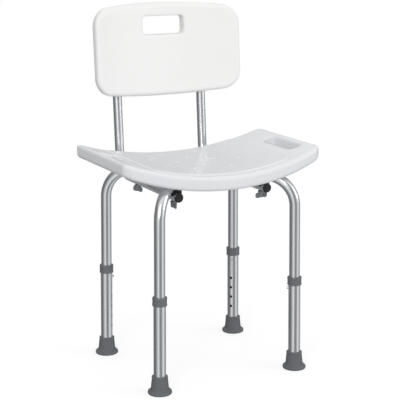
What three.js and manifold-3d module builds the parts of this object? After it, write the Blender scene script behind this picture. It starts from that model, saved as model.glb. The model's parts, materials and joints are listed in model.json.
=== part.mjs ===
// A height-adjustable shower stool with a backrest: a hollow blow-moulded seat on two crossing
// U-shaped aluminium tubes, telescopic lower legs with snap buttons, rubber feet, and a moulded
// backrest on two L-shaped tubes held under the seat by four wing knobs.
// Millimetres, +Z up, +X to the sitter's left, -Y to the front.

import * as THREE from 'three';
import { mergeVertices } from 'three/addons/utils/BufferGeometryUtils.js';
import Module from 'manifold-3d';

const wasm = await Module();
wasm.setup();

// ---------- driving dimensions ----------

const GAP = 0.3;                 // clearance between touching pieces

const FOOT_SPAN_X = 360;         // between foot centres, side to side
const FOOT_SPAN_Y = 306;         // between foot centres, front to back
const LEG_LEAN = 0.0125;         // how far a leg leans inwards per unit of height
const ORIGIN_SHIFT_Y = -30.26;   // brings the origin under the middle of the whole object

const UPPER_TUBE_R = 12.7;
const LOWER_TUBE_R = 14.3;
const LOWER_BORE_R = 13.15;
const BACK_TUBE_R = 11.1;
const TUBE_WALL = 1.3;
const TUBE_SIDES = 14;

const FRAME_TOP_Z = 471;         // axis of the leg frames where they cross under the seat
const FRAME_BEND_R = 70;
const UPPER_TUBE_END = 160;      // lower end of the upper tube, up the leg from the floor
const CROSS_FLAT = 21;           // half-length of the pressed flat at the crossing
const CROSS_ROUND = 48;          // where the tube is round again
const CROSS_SQUASH = 0.48;       // pressed height over round height

const LOWER_TUBE_END = 10.2;
const LOWER_TUBE_TOP = 225.5;
const COLLAR_LOW = 209;
const COLLAR_TOP = 229;
const BUTTON_UP = 200;           // height of the snap button up the leg
const HOLE_PITCH = 25.4;
const HOLE_COUNT = 6;
const HOLE_R = 3.5;
const BUTTON_R = 3.2;
const BUTTON_TIP = 18.3;         // how far the button's tip is from the leg's axis

const BACK_TUBE_X = 115;
const BACK_TUBE_Z = FRAME_TOP_Z - UPPER_TUBE_R - BACK_TUBE_R - 1.8;
const BACK_TUBE_FRONT_Y = -123;
const BACK_BEND_R = 60;
const BACK_FOOT_Y = 199.7;       // where the upright's axis would meet the level of the lower run
const BACK_LEAN = 0.0715;
const BACK_TUBE_TOP_Z = 792;

const SEAT_HALF_X = 254;
const SEAT_REAR_Y = 166;         // at the middle of the bowed rear edge
const SEAT_FRONT_Y = -171;       // at the middle of the bowed front edge
const SEAT_FRONT_BOW = 30;       // how far the front corners stand back from the middle
const SEAT_REAR_BOW = 14;        // the same for the rear corners
const SEAT_CORNER_R = 19;
const SEAT_TOP_Z = 494;          // at the middle
const SEAT_THICK = 34;
const SEAT_RISE = 44.5;          // how far the ends stand above the middle
const SEAT_RISE_POWER = 2.08;
const SEAT_WALL = 3;
const PANEL_HALF_X = 175;
const PANEL_HIGH = 2.2;          // how far the sitting panel stands above the rim
const PANEL_ROOT = 4;            // how far it reaches down into the seat's wall
const PANEL_FRONT_MARGIN = 24;   // rim left in front of the sitting panel
const PANEL_REAR_MARGIN = 9;
const HAND_SLOT_X = 220;
const HAND_SLOT_Y = -14;
const HAND_SLOT_HALF = [16, 68];
const DRAIN_R = 4.5;
const DRAIN_PITCH_X = 47;

const BACKREST_HALF_X = 194;
const BACKREST_LOW = 647;
const BACKREST_HIGH = 847;
const BACKREST_ARCH_TOP = 12;
const BACKREST_ARCH_LOW = 14.5;
const BACKREST_CORNER_R = 40;
const BACKREST_THICK = 31;
const BACKREST_WALL = 3;
const BACKREST_Y = 200;          // middle of its thickness, at half its height, on the centre line
const BACKREST_WRAP = 0.00108;   // forward curve: depth per square of the sideways distance
const BACK_SLOT_HALF = [56, 22.5];
const BACK_SLOT_Z = 804;
const SOCKET_R = 16;
const SOCKET_LOW = 668;

const KNOB_STUD_R = 3;
const KNOB_HUB_R = 8;

// ---------- colours ----------

const finish = (color, roughness, metalness) => ({ color, roughness, metalness });
const WHITE_PLASTIC = finish('#ecebe8', 0.45, 0);
const ALUMINIUM = finish('#b9bcc0', 0.32, 1);
const GREY_RUBBER = finish('#6b6f75', 0.75, 0);
const GREY_PLASTIC = finish('#7d8085', 0.55, 0);
const BLACK_PLASTIC = finish('#1c1c1e', 0.5, 0);
const STEEL = finish('#9a9ca0', 0.3, 1);
const BRASS = finish('#b8954f', 0.35, 1);

// ---------- small tools ----------

const UP = new THREE.Vector3(0, 0, 1);

/** A closed geometry as a manifold solid, for a join or a cut. */
function solid(geometry) {
  const bare = geometry.clone();
  bare.deleteAttribute('normal');
  bare.deleteAttribute('uv');
  const welded = mergeVertices(bare, 1e-4);
  const corners = [];
  const index = welded.getIndex().array;
  for (let i = 0; i < index.length; i += 3) {
    const [a, b, c] = index.slice(i, i + 3);
    if (a !== b && b !== c && c !== a) corners.push(a, b, c);
  }
  return new wasm.Manifold(new wasm.Mesh({
    numProp: 3,
    vertProperties: new Float32Array(welded.getAttribute('position').array),
    triVerts: new Uint32Array(corners),
  }));
}

function geometryOf(manifold) {
  const { vertProperties, triVerts, numProp } = manifold.getMesh();
  const position = [];
  for (let i = 0; i < vertProperties.length; i += numProp) {
    position.push(vertProperties[i], vertProperties[i + 1], vertProperties[i + 2]);
  }
  const geometry = new THREE.BufferGeometry();
  geometry.setAttribute('position', new THREE.Float32BufferAttribute(position, 3));
  geometry.setIndex([...triVerts]);
  geometry.computeVertexNormals();
  return geometry;
}

const cut = (body, ...tools) => tools.reduce((left, tool) => left.subtract(tool), body);

function part(name, shape, look) {
  const geometry = shape.isBufferGeometry ? shape : geometryOf(shape);
  const mesh = new THREE.Mesh(geometry, new THREE.MeshStandardMaterial(look));
  mesh.name = name;
  return mesh;
}

/** A turned piece about Z. The profile is [radius, height] pairs, from axis to axis or closed. */
function turned(profile, sides = 16) {
  const points = profile.map(([radius, height]) => new THREE.Vector2(radius, height));
  return new THREE.LatheGeometry(points, sides).rotateX(Math.PI / 2);
}

const rod = (radius, low, high, sides = 12) =>
  turned([[0, low], [radius, low], [radius, high], [0, high]], sides);

const pipe = (inner, outer, low, high, sides = 16) =>
  turned([[inner, low], [outer, low], [outer, high], [inner, high], [inner, low]], sides);

const box = (x0, x1, y0, y1, z0, z1) =>
  new THREE.BoxGeometry(x1 - x0, y1 - y0, z1 - z0)
    .translate((x0 + x1) / 2, (y0 + y1) / 2, (z0 + z1) / 2);

function circle(radius, sides) {
  return Array.from({ length: sides }, (_, i) => {
    const turn = (2 * Math.PI * i) / sides;
    return new THREE.Vector2(radius * Math.cos(turn), radius * Math.sin(turn));
  });
}

/** A path through stations in a plane, each with its own heading, so a bend gets its own steps. */
class Route extends THREE.Curve {
  constructor(stations) {
    super();
    this.stations = stations;
  }
  between(t) {
    const at = t * (this.stations.length - 1);
    const i = Math.min(Math.floor(at + 1e-6), this.stations.length - 2);
    return [this.stations[i], this.stations[i + 1], at - i];
  }
  getUtoTmapping(u) {
    return u;
  }
  getPoint(t, target = new THREE.Vector3()) {
    const [a, b, f] = this.between(t);
    return target.lerpVectors(a.at, b.at, f);
  }
  getTangent(t, target = new THREE.Vector3()) {
    const [a, b, f] = this.between(t);
    return target.lerpVectors(a.heading, b.heading, f).normalize();
  }
}

const straight = (at, heading) => ({ at, heading });

/** Stations round a bend that starts at `at`, turning from heading `from` to heading `to`. */
function bend(at, from, to, radius, steps = 6) {
  const angle = from.angleTo(to);
  const side = to.clone().addScaledVector(from, -to.dot(from)).normalize();
  const centre = at.clone().addScaledVector(side, radius);
  return Array.from({ length: steps + 1 }, (_, i) => {
    const turn = (angle * i) / steps;
    const heading = from.clone().multiplyScalar(Math.cos(turn)).addScaledVector(side, Math.sin(turn));
    const out = centre.clone()
      .addScaledVector(side, -radius * Math.cos(turn))
      .addScaledVector(from, radius * Math.sin(turn));
    return straight(out, heading);
  });
}

function swept(stations, outer, inner = 0, sides = TUBE_SIDES) {
  const shape = new THREE.Shape(circle(outer, sides));
  if (inner) shape.holes.push(new THREE.Path(circle(inner, sides).reverse()));
  const route = new Route(stations);
  return new THREE.ExtrudeGeometry(shape, { steps: stations.length - 1, extrudePath: route });
}

/** A flat strip bent along a polyline of [x, z] points, `wide` across Y. */
function strip(line, thick, wide) {
  const points = line.map(([x, z]) => new THREE.Vector2(x, z));
  const side = points.map((point, i) => {
    const before = points[Math.max(i - 1, 0)];
    const after = points[Math.min(i + 1, points.length - 1)];
    const along = after.clone().sub(before).normalize();
    return new THREE.Vector2(-along.y, along.x).multiplyScalar(thick / 2);
  });
  const outline = [
    ...points.map((point, i) => point.clone().add(side[i])),
    ...points.map((point, i) => point.clone().sub(side[i])).reverse(),
  ];
  return new THREE.ExtrudeGeometry(new THREE.Shape(outline), { depth: wide, bevelEnabled: false })
    .rotateX(Math.PI / 2)
    .translate(0, wide / 2, 0);
}

// ---------- moulded panels ----------

/** Points round a rounded rectangle, more closely spaced at its corners. `edge(x, y)` then bows it. */
function roundedOutline(halfX, halfY, radius, edge = (x, y) => [x, y], flat = [10, 6], turnSteps = 5) {
  const points = [];
  const corners = [[1, 1], [-1, 1], [-1, -1], [1, -1]];
  corners.forEach(([sx, sy], n) => {
    for (let i = 0; i <= turnSteps; i++) {
      const turn = (Math.PI / 2) * (n + i / turnSteps);
      points.push([sx * (halfX - radius) + radius * Math.cos(turn),
        sy * (halfY - radius) + radius * Math.sin(turn)]);
    }
    const [nx, ny] = corners[(n + 1) % 4];
    const from = points[points.length - 1];
    const turn = (Math.PI / 2) * (n + 1);
    const to = [nx * (halfX - radius) + radius * Math.cos(turn),
      ny * (halfY - radius) + radius * Math.sin(turn)];
    const steps = flat[n % 2];
    for (let i = 1; i < steps; i++) {
      points.push([from[0] + (to[0] - from[0]) * i / steps, from[1] + (to[1] - from[1]) * i / steps]);
    }
  });
  return points.map(([x, y]) => edge(x, y));
}

/**
 * A slab with the plan `outline`, rounded edges and `thick` thickness, drawn in as a lathe whose
 * rings take the outline's shape. `place(x, y, t)` puts a point of plan (x, y) and height t
 * (from -0.5 at the underside to 0.5 on top) where the bent panel has it.
 */
function moulded(outline, thick, rounding, place, inset = 0, rings = [0, 0.3, 0.6, 0.82]) {
  const count = outline.length;
  const centre = outline.reduce(([x, y], [px, py]) => [x + px / count, y + py / count], [0, 0]);
  const reach = thick / 2 - inset;
  const round = rounding - inset * 0.6;
  const profile = rings.map((r) => ({ r, inside: round, t: -reach }));
  const steps = inset ? 2 : 3;
  for (let i = 0; i <= steps; i++) {
    const turn = (Math.PI / 2) * (i / steps);
    profile.push({ r: 1, inside: round * (1 - Math.sin(turn)), t: -reach + round * (1 - Math.cos(turn)) });
  }
  const upper = profile.map((ring) => ({ ...ring, t: -ring.t })).reverse();
  profile.push(...upper);
  const flatProfile = profile.map((ring, i) => new THREE.Vector2(ring.r, i));
  const geometry = new THREE.LatheGeometry(flatProfile, count);
  const position = geometry.getAttribute('position');
  const rows = profile.length;
  for (let i = 0; i < position.count; i++) {
    const ring = profile[i % rows];
    const k = Math.floor(i / rows) % count;
    const before = outline[(k + count - 1) % count];
    const after = outline[(k + 1) % count];
    const along = Math.hypot(after[0] - before[0], after[1] - before[1]);
    const normal = [(after[1] - before[1]) / along, -(after[0] - before[0]) / along];
    const inside = ring.inside + inset;
    const rim = [outline[k][0] - normal[0] * inside, outline[k][1] - normal[1] * inside];
    const x = centre[0] + (rim[0] - centre[0]) * ring.r;
    const y = centre[1] + (rim[1] - centre[1]) * ring.r;
    const [px, py, pz] = place(x, y, ring.t / thick);
    position.setXYZ(i, px, py, pz);
  }
  return geometry;
}

// ---------- the legs' own frames ----------

const halfDiagonal = Math.hypot(FOOT_SPAN_X, FOOT_SPAN_Y) / 2;
const LEGS = [
  { name: 'front_left', sx: -1, sy: -1 },
  { name: 'front_right', sx: 1, sy: -1 },
  { name: 'rear_right', sx: 1, sy: 1 },
  { name: 'rear_left', sx: -1, sy: 1 },
].map((leg) => {
  const foot = new THREE.Vector3(leg.sx * FOOT_SPAN_X / 2, leg.sy * FOOT_SPAN_Y / 2, 0);
  const inward = foot.clone().normalize().negate();
  const along = inward.clone().multiplyScalar(LEG_LEAN).add(UP).normalize();
  const across = new THREE.Vector3().crossVectors(along, inward).normalize();
  const inSquare = new THREE.Vector3().crossVectors(across, along);
  const frame = new THREE.Matrix4().makeBasis(inSquare, across, along).setPosition(foot);
  return { ...leg, foot, inward, along, frame };
});

// ---------- leg frames: two U tubes, pressed flat where they cross ----------

const LEG_RUN = FRAME_TOP_Z / Math.cos(Math.atan(LEG_LEAN));
const BEND_SETBACK = FRAME_BEND_R * Math.tan((Math.PI / 2 - Math.atan(LEG_LEAN)) / 2);

const CROSS_STATIONS = [CROSS_ROUND, 34, CROSS_FLAT];

/** Stations of the tube from one leg's lower end over to the opposite leg's lower end. */
function frameStations(leg, opposite, start = UPPER_TUBE_END, stops = CROSS_STATIONS, steps = 5) {
  const half = (from, direction) => {
    const low = from.foot.clone().addScaledVector(from.along, start);
    const bendStart = from.foot.clone().addScaledVector(from.along, LEG_RUN - BEND_SETBACK);
    const turn = bend(bendStart, from.along, from.inward, FRAME_BEND_R, steps);
    const cross = stops.map((distance) => {
      const at = from.inward.clone().multiplyScalar(-distance).setZ(FRAME_TOP_Z);
      return straight(at, from.inward.clone());
    });
    const stations = [straight(low, from.along.clone()), ...turn, ...cross];
    if (direction > 0) return stations;
    return stations.reverse().map(({ at, heading }) => straight(at, heading.negate()));
  };
  return [...half(leg, 1), ...half(opposite, -1)];
}

/** Presses the tube flat around the middle, and sets it above or below its neighbour. */
function pressFlat(geometry, leg, side) {
  const position = geometry.getAttribute('position');
  const across = new THREE.Vector3().crossVectors(UP, leg.inward);
  const point = new THREE.Vector3();
  for (let i = 0; i < position.count; i++) {
    point.fromBufferAttribute(position, i);
    const along = Math.abs(point.dot(leg.inward));
    const press = 1 - THREE.MathUtils.smoothstep(along, CROSS_FLAT, CROSS_ROUND);
    if (point.z < FRAME_TOP_Z - 30 || press === 0) continue;
    const rise = point.z - FRAME_TOP_Z;
    const out = point.dot(across);
    point.addScaledVector(across, out * 0.3 * press);
    point.z = FRAME_TOP_Z + rise * (1 - (1 - CROSS_SQUASH) * press) + side * 6.5 * press;
    position.setXYZ(i, point.x, point.y, point.z);
  }
  return geometry;
}

/** A solid that follows a leg frame's bends with room for a tube of the given radius. */
function frameCutter(leg, opposite, radius) {
  const sides = 10;
  const route = frameStations(leg, opposite, 380, [CROSS_ROUND], 5);
  return solid(swept(route, radius / Math.cos(Math.PI / sides), 0, sides));
}

const CROSS_BOLT_R = 3;
const crossHole = solid(rod(CROSS_BOLT_R + GAP, FRAME_TOP_Z - 20, FRAME_TOP_Z + 20));

const crossings = LEGS.map(({ name, sx, sy }) => ({
  name,
  x: sx * BACK_TUBE_X,
  y: sy * BACK_TUBE_X * FOOT_SPAN_Y / FOOT_SPAN_X,
  sx,
  sy,
}));
const studHole = ({ x, y }, radius, low, high) => solid(rod(radius, low, high).translate(x, y, 0));

function buttonBore(leg, radius, from, to, height) {
  const bore = new THREE.CylinderGeometry(radius, radius, to - from, 8)
    .rotateZ(Math.PI / 2)
    .translate((from + to) / 2, 0, height);
  return solid(bore.applyMatrix4(leg.frame));
}

function legFrame(name, leg, opposite, side) {
  const tube = swept(frameStations(leg, opposite), UPPER_TUBE_R, UPPER_TUBE_R - TUBE_WALL);
  const studs = crossings.filter((c) => c.name === leg.name || c.name === opposite.name);
  return part(name, cut(
    solid(pressFlat(tube, leg, side)),
    crossHole,
    ...studs.map((c) => studHole(c, KNOB_STUD_R + GAP, FRAME_TOP_Z - 20, FRAME_TOP_Z + 20)),
    ...[leg, opposite].map((l) => buttonBore(l, BUTTON_R + GAP, 6, 20, BUTTON_UP)),
  ), ALUMINIUM);
}

// ---------- lower legs ----------

const belowFloor = solid(box(-400, 400, -400, 400, -60, 0));

function foot(leg) {
  const cup = turned([
    [LOWER_TUBE_R + GAP, 8], [0, 8], [0, -4], [27.4, -4], [28, 4], [26.6, 8],
    [21, 13.5], [19.4, 22], [18.2, 41], [LOWER_TUBE_R + GAP, 42], [LOWER_TUBE_R + GAP, 8],
  ], 20).applyMatrix4(leg.frame);
  return part(`foot_${leg.name}`, cut(solid(cup), belowFloor), GREY_RUBBER);
}

function lowerTube(leg) {
  const tube = solid(pipe(LOWER_BORE_R, LOWER_TUBE_R, LOWER_TUBE_END, LOWER_TUBE_TOP)
    .applyMatrix4(leg.frame));
  const holes = Array.from({ length: HOLE_COUNT }, (_, i) =>
    buttonBore(leg, HOLE_R, 8, 20, BUTTON_UP - i * HOLE_PITCH));
  return part(`lower_tube_${leg.name}`, cut(tube, ...holes), ALUMINIUM);
}

function collar(leg) {
  const bore = LOWER_TUBE_R + GAP;
  const lip = UPPER_TUBE_R + GAP;
  return part(`collar_${leg.name}`, turned([
    [bore, COLLAR_LOW], [16.6, COLLAR_LOW], [17.1, COLLAR_LOW + 1.2],
    [17.1, COLLAR_TOP - 1.4], [16, COLLAR_TOP], [lip, COLLAR_TOP], [lip, LOWER_TUBE_TOP + GAP],
    [bore, LOWER_TUBE_TOP + GAP], [bore, COLLAR_LOW],
  ], 18).applyMatrix4(leg.frame), GREY_PLASTIC);
}

function footWasher(leg) {
  return part(`foot_washer_${leg.name}`,
    rod(LOWER_TUBE_R - GAP, 8.3, LOWER_TUBE_END - GAP).applyMatrix4(leg.frame), STEEL);
}

// ---------- snap buttons inside the upper tubes ----------

function snapButton(leg) {
  const pin = turned([
    [0, 8.7], [4.4, 8.7], [4.4, 9.7], [BUTTON_R, 9.9], [BUTTON_R, BUTTON_TIP - 1.6],
    [2.5, BUTTON_TIP - 0.5], [0, BUTTON_TIP],
  ], 12).rotateY(Math.PI / 2).translate(0, 0, BUTTON_UP);
  return part(`snap_button_${leg.name}`, pin.applyMatrix4(leg.frame), STEEL);
}

function leafSpring(leg) {
  const line = [
    [7.9, BUTTON_UP + 6], [7.9, BUTTON_UP - 6], [6.6, BUTTON_UP - 12], [1.8, BUTTON_UP - 32],
    [0.9, BUTTON_UP - 33.6], [-0.9, BUTTON_UP - 33.6], [-1.8, BUTTON_UP - 32],
    [-9.2, BUTTON_UP - 4], [-9.6, BUTTON_UP + 6],
  ];
  return part(`leaf_spring_${leg.name}`, strip(line, 0.8, 7).applyMatrix4(leg.frame), STEEL);
}

// ---------- back tubes, their plugs, saddles and wing knobs ----------

const backHeading = new THREE.Vector3(0, BACK_LEAN, 1).normalize();
const upright = (z) => BACK_FOOT_Y + BACK_LEAN * (z - BACK_TUBE_Z);

function backStations(x) {
  const rearward = new THREE.Vector3(0, 1, 0);
  const setback = BACK_BEND_R * Math.tan(rearward.angleTo(backHeading) / 2);
  const start = new THREE.Vector3(x, BACK_FOOT_Y - setback, BACK_TUBE_Z);
  const top = new THREE.Vector3(x, upright(BACK_TUBE_TOP_Z), BACK_TUBE_TOP_Z);
  return [
    straight(new THREE.Vector3(x, BACK_TUBE_FRONT_Y, BACK_TUBE_Z), rearward),
    ...bend(start, rearward, backHeading, BACK_BEND_R),
    straight(top, backHeading),
  ];
}

const BACK_SCREW_Z = [700, 760];
const screwBore = (x, z, radius, low, high) =>
  solid(rod(radius, low, high, 8).rotateX(-Math.PI / 2).translate(x, upright(z), z));

function backTube(name, x) {
  const studs = crossings.filter((c) => c.x === x);
  return part(name, cut(
    solid(swept(backStations(x), BACK_TUBE_R, BACK_TUBE_R - TUBE_WALL)),
    ...studs.map((c) => studHole(c, KNOB_STUD_R + GAP, BACK_TUBE_Z - 20, BACK_TUBE_Z + 20)),
    ...BACK_SCREW_Z.map((z) => screwBore(x, z, 2.6, 0, 30)),
  ), ALUMINIUM);
}

function endPlug(name, x) {
  const stem = BACK_TUBE_R - TUBE_WALL - GAP;
  const face = BACK_TUBE_FRONT_Y - GAP;
  return part(name, turned([
    [0, -3.4], [10.6, -2.6], [11.5, -1.2], [11.3, GAP], [stem, GAP], [stem, 12.5],
    [stem - 0.8, 14], [0, 14],
  ], 20).rotateX(-Math.PI / 2).translate(x, face, BACK_TUBE_Z), BLACK_PLASTIC);
}

function tubeSaddle(crossing) {
  const leg = LEGS.find((l) => l.name === crossing.name);
  const block = turned([[0, BACK_TUBE_Z + 2.5], [17, BACK_TUBE_Z + 2.5], [18.5, BACK_TUBE_Z + 5],
    [18.5, FRAME_TOP_Z - 8.5], [17, FRAME_TOP_Z - 7], [0, FRAME_TOP_Z - 7]], 16)
    .translate(crossing.x, crossing.y, 0);
  const opposite = LEGS.find((l) => l.sx === -leg.sx && l.sy === -leg.sy);
  const below = [-60, 60].map((d) =>
    straight(new THREE.Vector3(crossing.x, crossing.y + d, BACK_TUBE_Z), new THREE.Vector3(0, 1, 0)));
  return part(`tube_saddle_${crossing.name}`, cut(
    solid(block),
    frameCutter(leg, opposite, UPPER_TUBE_R + GAP),
    solid(swept(below, BACK_TUBE_R + 1.5 * GAP)),
    studHole(crossing, KNOB_STUD_R + GAP, BACK_TUBE_Z - 20, FRAME_TOP_Z + 20),
  ), BLACK_PLASTIC);
}

const STUD_TOP = FRAME_TOP_Z + 21;
const KNOB_TOP = BACK_TUBE_Z - BACK_TUBE_R - 0.6;
const KNOB_TALL = 15;
const WING_TURN = { front_left: 1.49, front_right: 0.06, rear_right: 1.3, rear_left: 1.88 };

function wingKnob(crossing) {
  const hub = solid(turned([[0, -KNOB_TALL], [5.4, -KNOB_TALL], [6.6, -KNOB_TALL + 1.4],
    [KNOB_HUB_R - 0.6, -3], [KNOB_HUB_R, -1.4], [KNOB_HUB_R, 0], [0, 0]], 14));
  const wing = new THREE.Shape();
  wing.moveTo(-15.5, -14);
  wing.quadraticCurveTo(-16.5, -7, -13.5, -5.2);
  wing.quadraticCurveTo(-9, -3.4, -5, -6.2);
  wing.lineTo(5, -6.2);
  wing.quadraticCurveTo(9, -3.4, 13.5, -5.2);
  wing.quadraticCurveTo(16.5, -7, 15.5, -14);
  wing.quadraticCurveTo(14, -17, 9.5, -16.6);
  wing.quadraticCurveTo(0, -13.6, -9.5, -16.6);
  wing.quadraticCurveTo(-14, -17, -15.5, -14);
  const wings = new THREE.ExtrudeGeometry(wing, {
    depth: 3.6, steps: 1, curveSegments: 3, bevelThickness: 0.8, bevelSize: 0.8, bevelSegments: 1,
  }).translate(0, 0, -1.8).rotateX(Math.PI / 2);
  const bore = solid(rod(KNOB_STUD_R + GAP, -10, 1));
  const knob = geometryOf(cut(hub.add(solid(wings)), bore))
    .rotateZ(WING_TURN[crossing.name])
    .translate(crossing.x, crossing.y, KNOB_TOP);
  return part(`wing_knob_${crossing.name}`, knob, GREY_PLASTIC);
}

function knobStud(crossing) {
  return part(`knob_stud_${crossing.name}`, turned([[0, KNOB_TOP - 9.7], [KNOB_STUD_R - 0.6, KNOB_TOP - 9.7],
    [KNOB_STUD_R, KNOB_TOP - 9.1], [KNOB_STUD_R, STUD_TOP - 1], [KNOB_STUD_R - 1, STUD_TOP],
    [0, STUD_TOP]], 12).translate(crossing.x, crossing.y, 0), STEEL);
}

function seatInsert(crossing) {
  return part(`seat_insert_${crossing.name}`, pipe(KNOB_STUD_R + GAP, 5, INSERT_LOW, INSERT_TOP, 12)
    .translate(crossing.x, crossing.y, 0), BRASS);
}

// ---------- crossing bolt ----------

const BOLT_HEAD_Z = FRAME_TOP_Z + 13.1;

function crossBolt() {
  return part('cross_bolt', turned([[0, FRAME_TOP_Z - 22], [CROSS_BOLT_R - 0.5, FRAME_TOP_Z - 22],
    [CROSS_BOLT_R, FRAME_TOP_Z - 21.5], [CROSS_BOLT_R, BOLT_HEAD_Z], [6.4, BOLT_HEAD_Z],
    [4.4, BOLT_HEAD_Z + 2.4], [0, BOLT_HEAD_Z + 2.8]], 14), STEEL);
}

function crossNut() {
  const high = FRAME_TOP_Z - 13.3;
  const hex = rod(5.8, high - 5, high, 6);
  return part('cross_nut', cut(solid(hex), solid(rod(CROSS_BOLT_R + GAP, high - 8, high + 2))), STEEL);
}

// ---------- seat ----------

const seatTop = (x) => SEAT_TOP_Z + SEAT_RISE * Math.abs(x / SEAT_HALF_X) ** SEAT_RISE_POWER;
const seatMiddleY = (SEAT_REAR_Y + SEAT_FRONT_Y) / 2;
const seatHalfY = (SEAT_REAR_Y - SEAT_FRONT_Y) / 2;
const INSERT_LOW = FRAME_TOP_Z + UPPER_TUBE_R + 0.8;
const INSERT_TOP = STUD_TOP + 0.5;

/** Bows the two long edges of a plan of half depth `halfY`: their corners stand back from their middles. */
function bowed(x, y, halfY, middleY) {
  const front = (halfY - y) / (2 * halfY);
  const bow = SEAT_FRONT_BOW * front - SEAT_REAR_BOW * (1 - front);
  return [x, y + middleY + bow * (x / SEAT_HALF_X) ** 2];
}

const seatEdge = (x, y) => bowed(x, y, seatHalfY, seatMiddleY);

const seatOutline = roundedOutline(SEAT_HALF_X, seatHalfY, SEAT_CORNER_R, seatEdge, [9, 3], 3);
const placeOnSeat = (x, y, t) => [x, y, seatTop(x) + SEAT_THICK * (t - 0.5)];

/** The slightly raised sitting panel between the hand slots. */
function sittingPanel() {
  const front = SEAT_FRONT_Y + PANEL_FRONT_MARGIN;
  const rear = SEAT_REAR_Y - PANEL_REAR_MARGIN;
  const edge = (x, y) => bowed(x, y, (rear - front) / 2, (rear + front) / 2);
  const outline = roundedOutline(PANEL_HALF_X, (rear - front) / 2, 18, edge, [9, 2], 2);
  const place = (x, y, t) => [x, y, seatTop(x) + (t < 0 ? -PANEL_ROOT : PANEL_HIGH)];
  return solid(moulded(outline, PANEL_ROOT + PANEL_HIGH, 0.01, place, 0, [0, 0.5]));
}

function slotCutter(halfX, halfY, radius, x, y, low, high) {
  const outline = roundedOutline(halfX, halfY, radius, undefined, [1, 1], 4)
    .map(([px, py]) => new THREE.Vector2(px, py));
  return new THREE.ExtrudeGeometry(new THREE.Shape(outline), { depth: high - low, bevelEnabled: false })
    .translate(x, y, low);
}

const drains = [];
for (const column of [-2, -1, 0, 1, 2]) {
  const rows = column % 2 ? [-75, 19, 113] : [-28, 66];
  for (const y of rows) drains.push([column * DRAIN_PITCH_X, y]);
}

const CHANNEL_ROOM = 1.2;
const CROSS_POCKET_R = 50;

/** The channel under the seat that one leg frame lies in, `grow` wider all round. */
function frameChannel(leg, opposite, grow) {
  const radius = UPPER_TUBE_R + CHANNEL_ROOM + grow;
  const round = frameCutter(leg, opposite, radius);
  const length = 2 * (halfDiagonal - LEG_LEAN * FRAME_TOP_Z + radius * 0.9);
  const angle = Math.atan2(leg.inward.y, leg.inward.x);
  const trench = box(-length / 2, length / 2, -radius, radius, FRAME_TOP_Z - 60, FRAME_TOP_Z).rotateZ(angle);
  return round.add(solid(trench));
}

function seat() {
  const [fl, fr, rr, rl] = LEGS;
  const slots = (grow) => [-1, 1].map((side) => solid(slotCutter(
    HAND_SLOT_HALF[0] + grow, HAND_SLOT_HALF[1] + grow, 15 + grow, side * HAND_SLOT_X, HAND_SLOT_Y, 440, 580)));
  const holes = (grow) => drains.map(([x, y]) =>
    solid(rod(DRAIN_R + grow, 440, 520, 6).translate(x, y, 0)));
  const channels = (grow) => [frameChannel(fl, rr, grow), frameChannel(fr, rl, grow)];
  const bosses = (radius, top) => crossings.map((c) => studHole(c, radius, FRAME_TOP_Z, top));
  const boltPocket = (grow) => solid(rod(8 + grow, FRAME_TOP_Z, BOLT_HEAD_Z + 3.2 + grow));
  const crossPocket = (grow) => solid(
    rod(CROSS_POCKET_R + grow, FRAME_TOP_Z - 40, FRAME_TOP_Z + UPPER_TUBE_R + 0.7 + grow, 20));

  const hollow = cut(
    solid(moulded(seatOutline, SEAT_THICK, 13, placeOnSeat, SEAT_WALL)),
    ...slots(SEAT_WALL), ...holes(2.4), ...channels(SEAT_WALL), ...bosses(5 + SEAT_WALL, INSERT_TOP + SEAT_WALL),
    boltPocket(SEAT_WALL), crossPocket(SEAT_WALL),
  );
  const vents = [[0, 140], [0, -140]].map(([x, y]) =>
    solid(rod(2.5, 440, seatTop(x) - 20, 6).translate(x, y, 0)));
  return part('seat', cut(
    solid(moulded(seatOutline, SEAT_THICK, 13, placeOnSeat)).add(sittingPanel()),
    ...slots(0), ...holes(0), ...channels(0),
    ...bosses(5 + GAP, INSERT_TOP + GAP), boltPocket(0), crossPocket(0), hollow, ...vents,
  ), WHITE_PLASTIC);
}

// ---------- backrest ----------

const backMiddleZ = (BACKREST_LOW + BACKREST_HIGH) / 2;
const backHalfZ = (BACKREST_HIGH - BACKREST_LOW) / 2;

/** Arches the top edge up and the lower edge down towards the middle. */
function backEdge(x, h) {
  const bow = 1 - (x / BACKREST_HALF_X) ** 2;
  const high = (h + backHalfZ) / (2 * backHalfZ);
  return [x, h + BACKREST_ARCH_TOP * bow * high - BACKREST_ARCH_LOW * bow * (1 - high)];
}

const backOutline = roundedOutline(BACKREST_HALF_X, backHalfZ, BACKREST_CORNER_R, backEdge, [7, 2], 4);

/** t is -0.5 at the rear face and 0.5 at the front face. */
function placeOnBack(x, h, t) {
  const y = BACKREST_Y + BACK_LEAN * h - BACKREST_WRAP * x * x - BACKREST_THICK * t;
  return [x, y, backMiddleZ + h];
}

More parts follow.
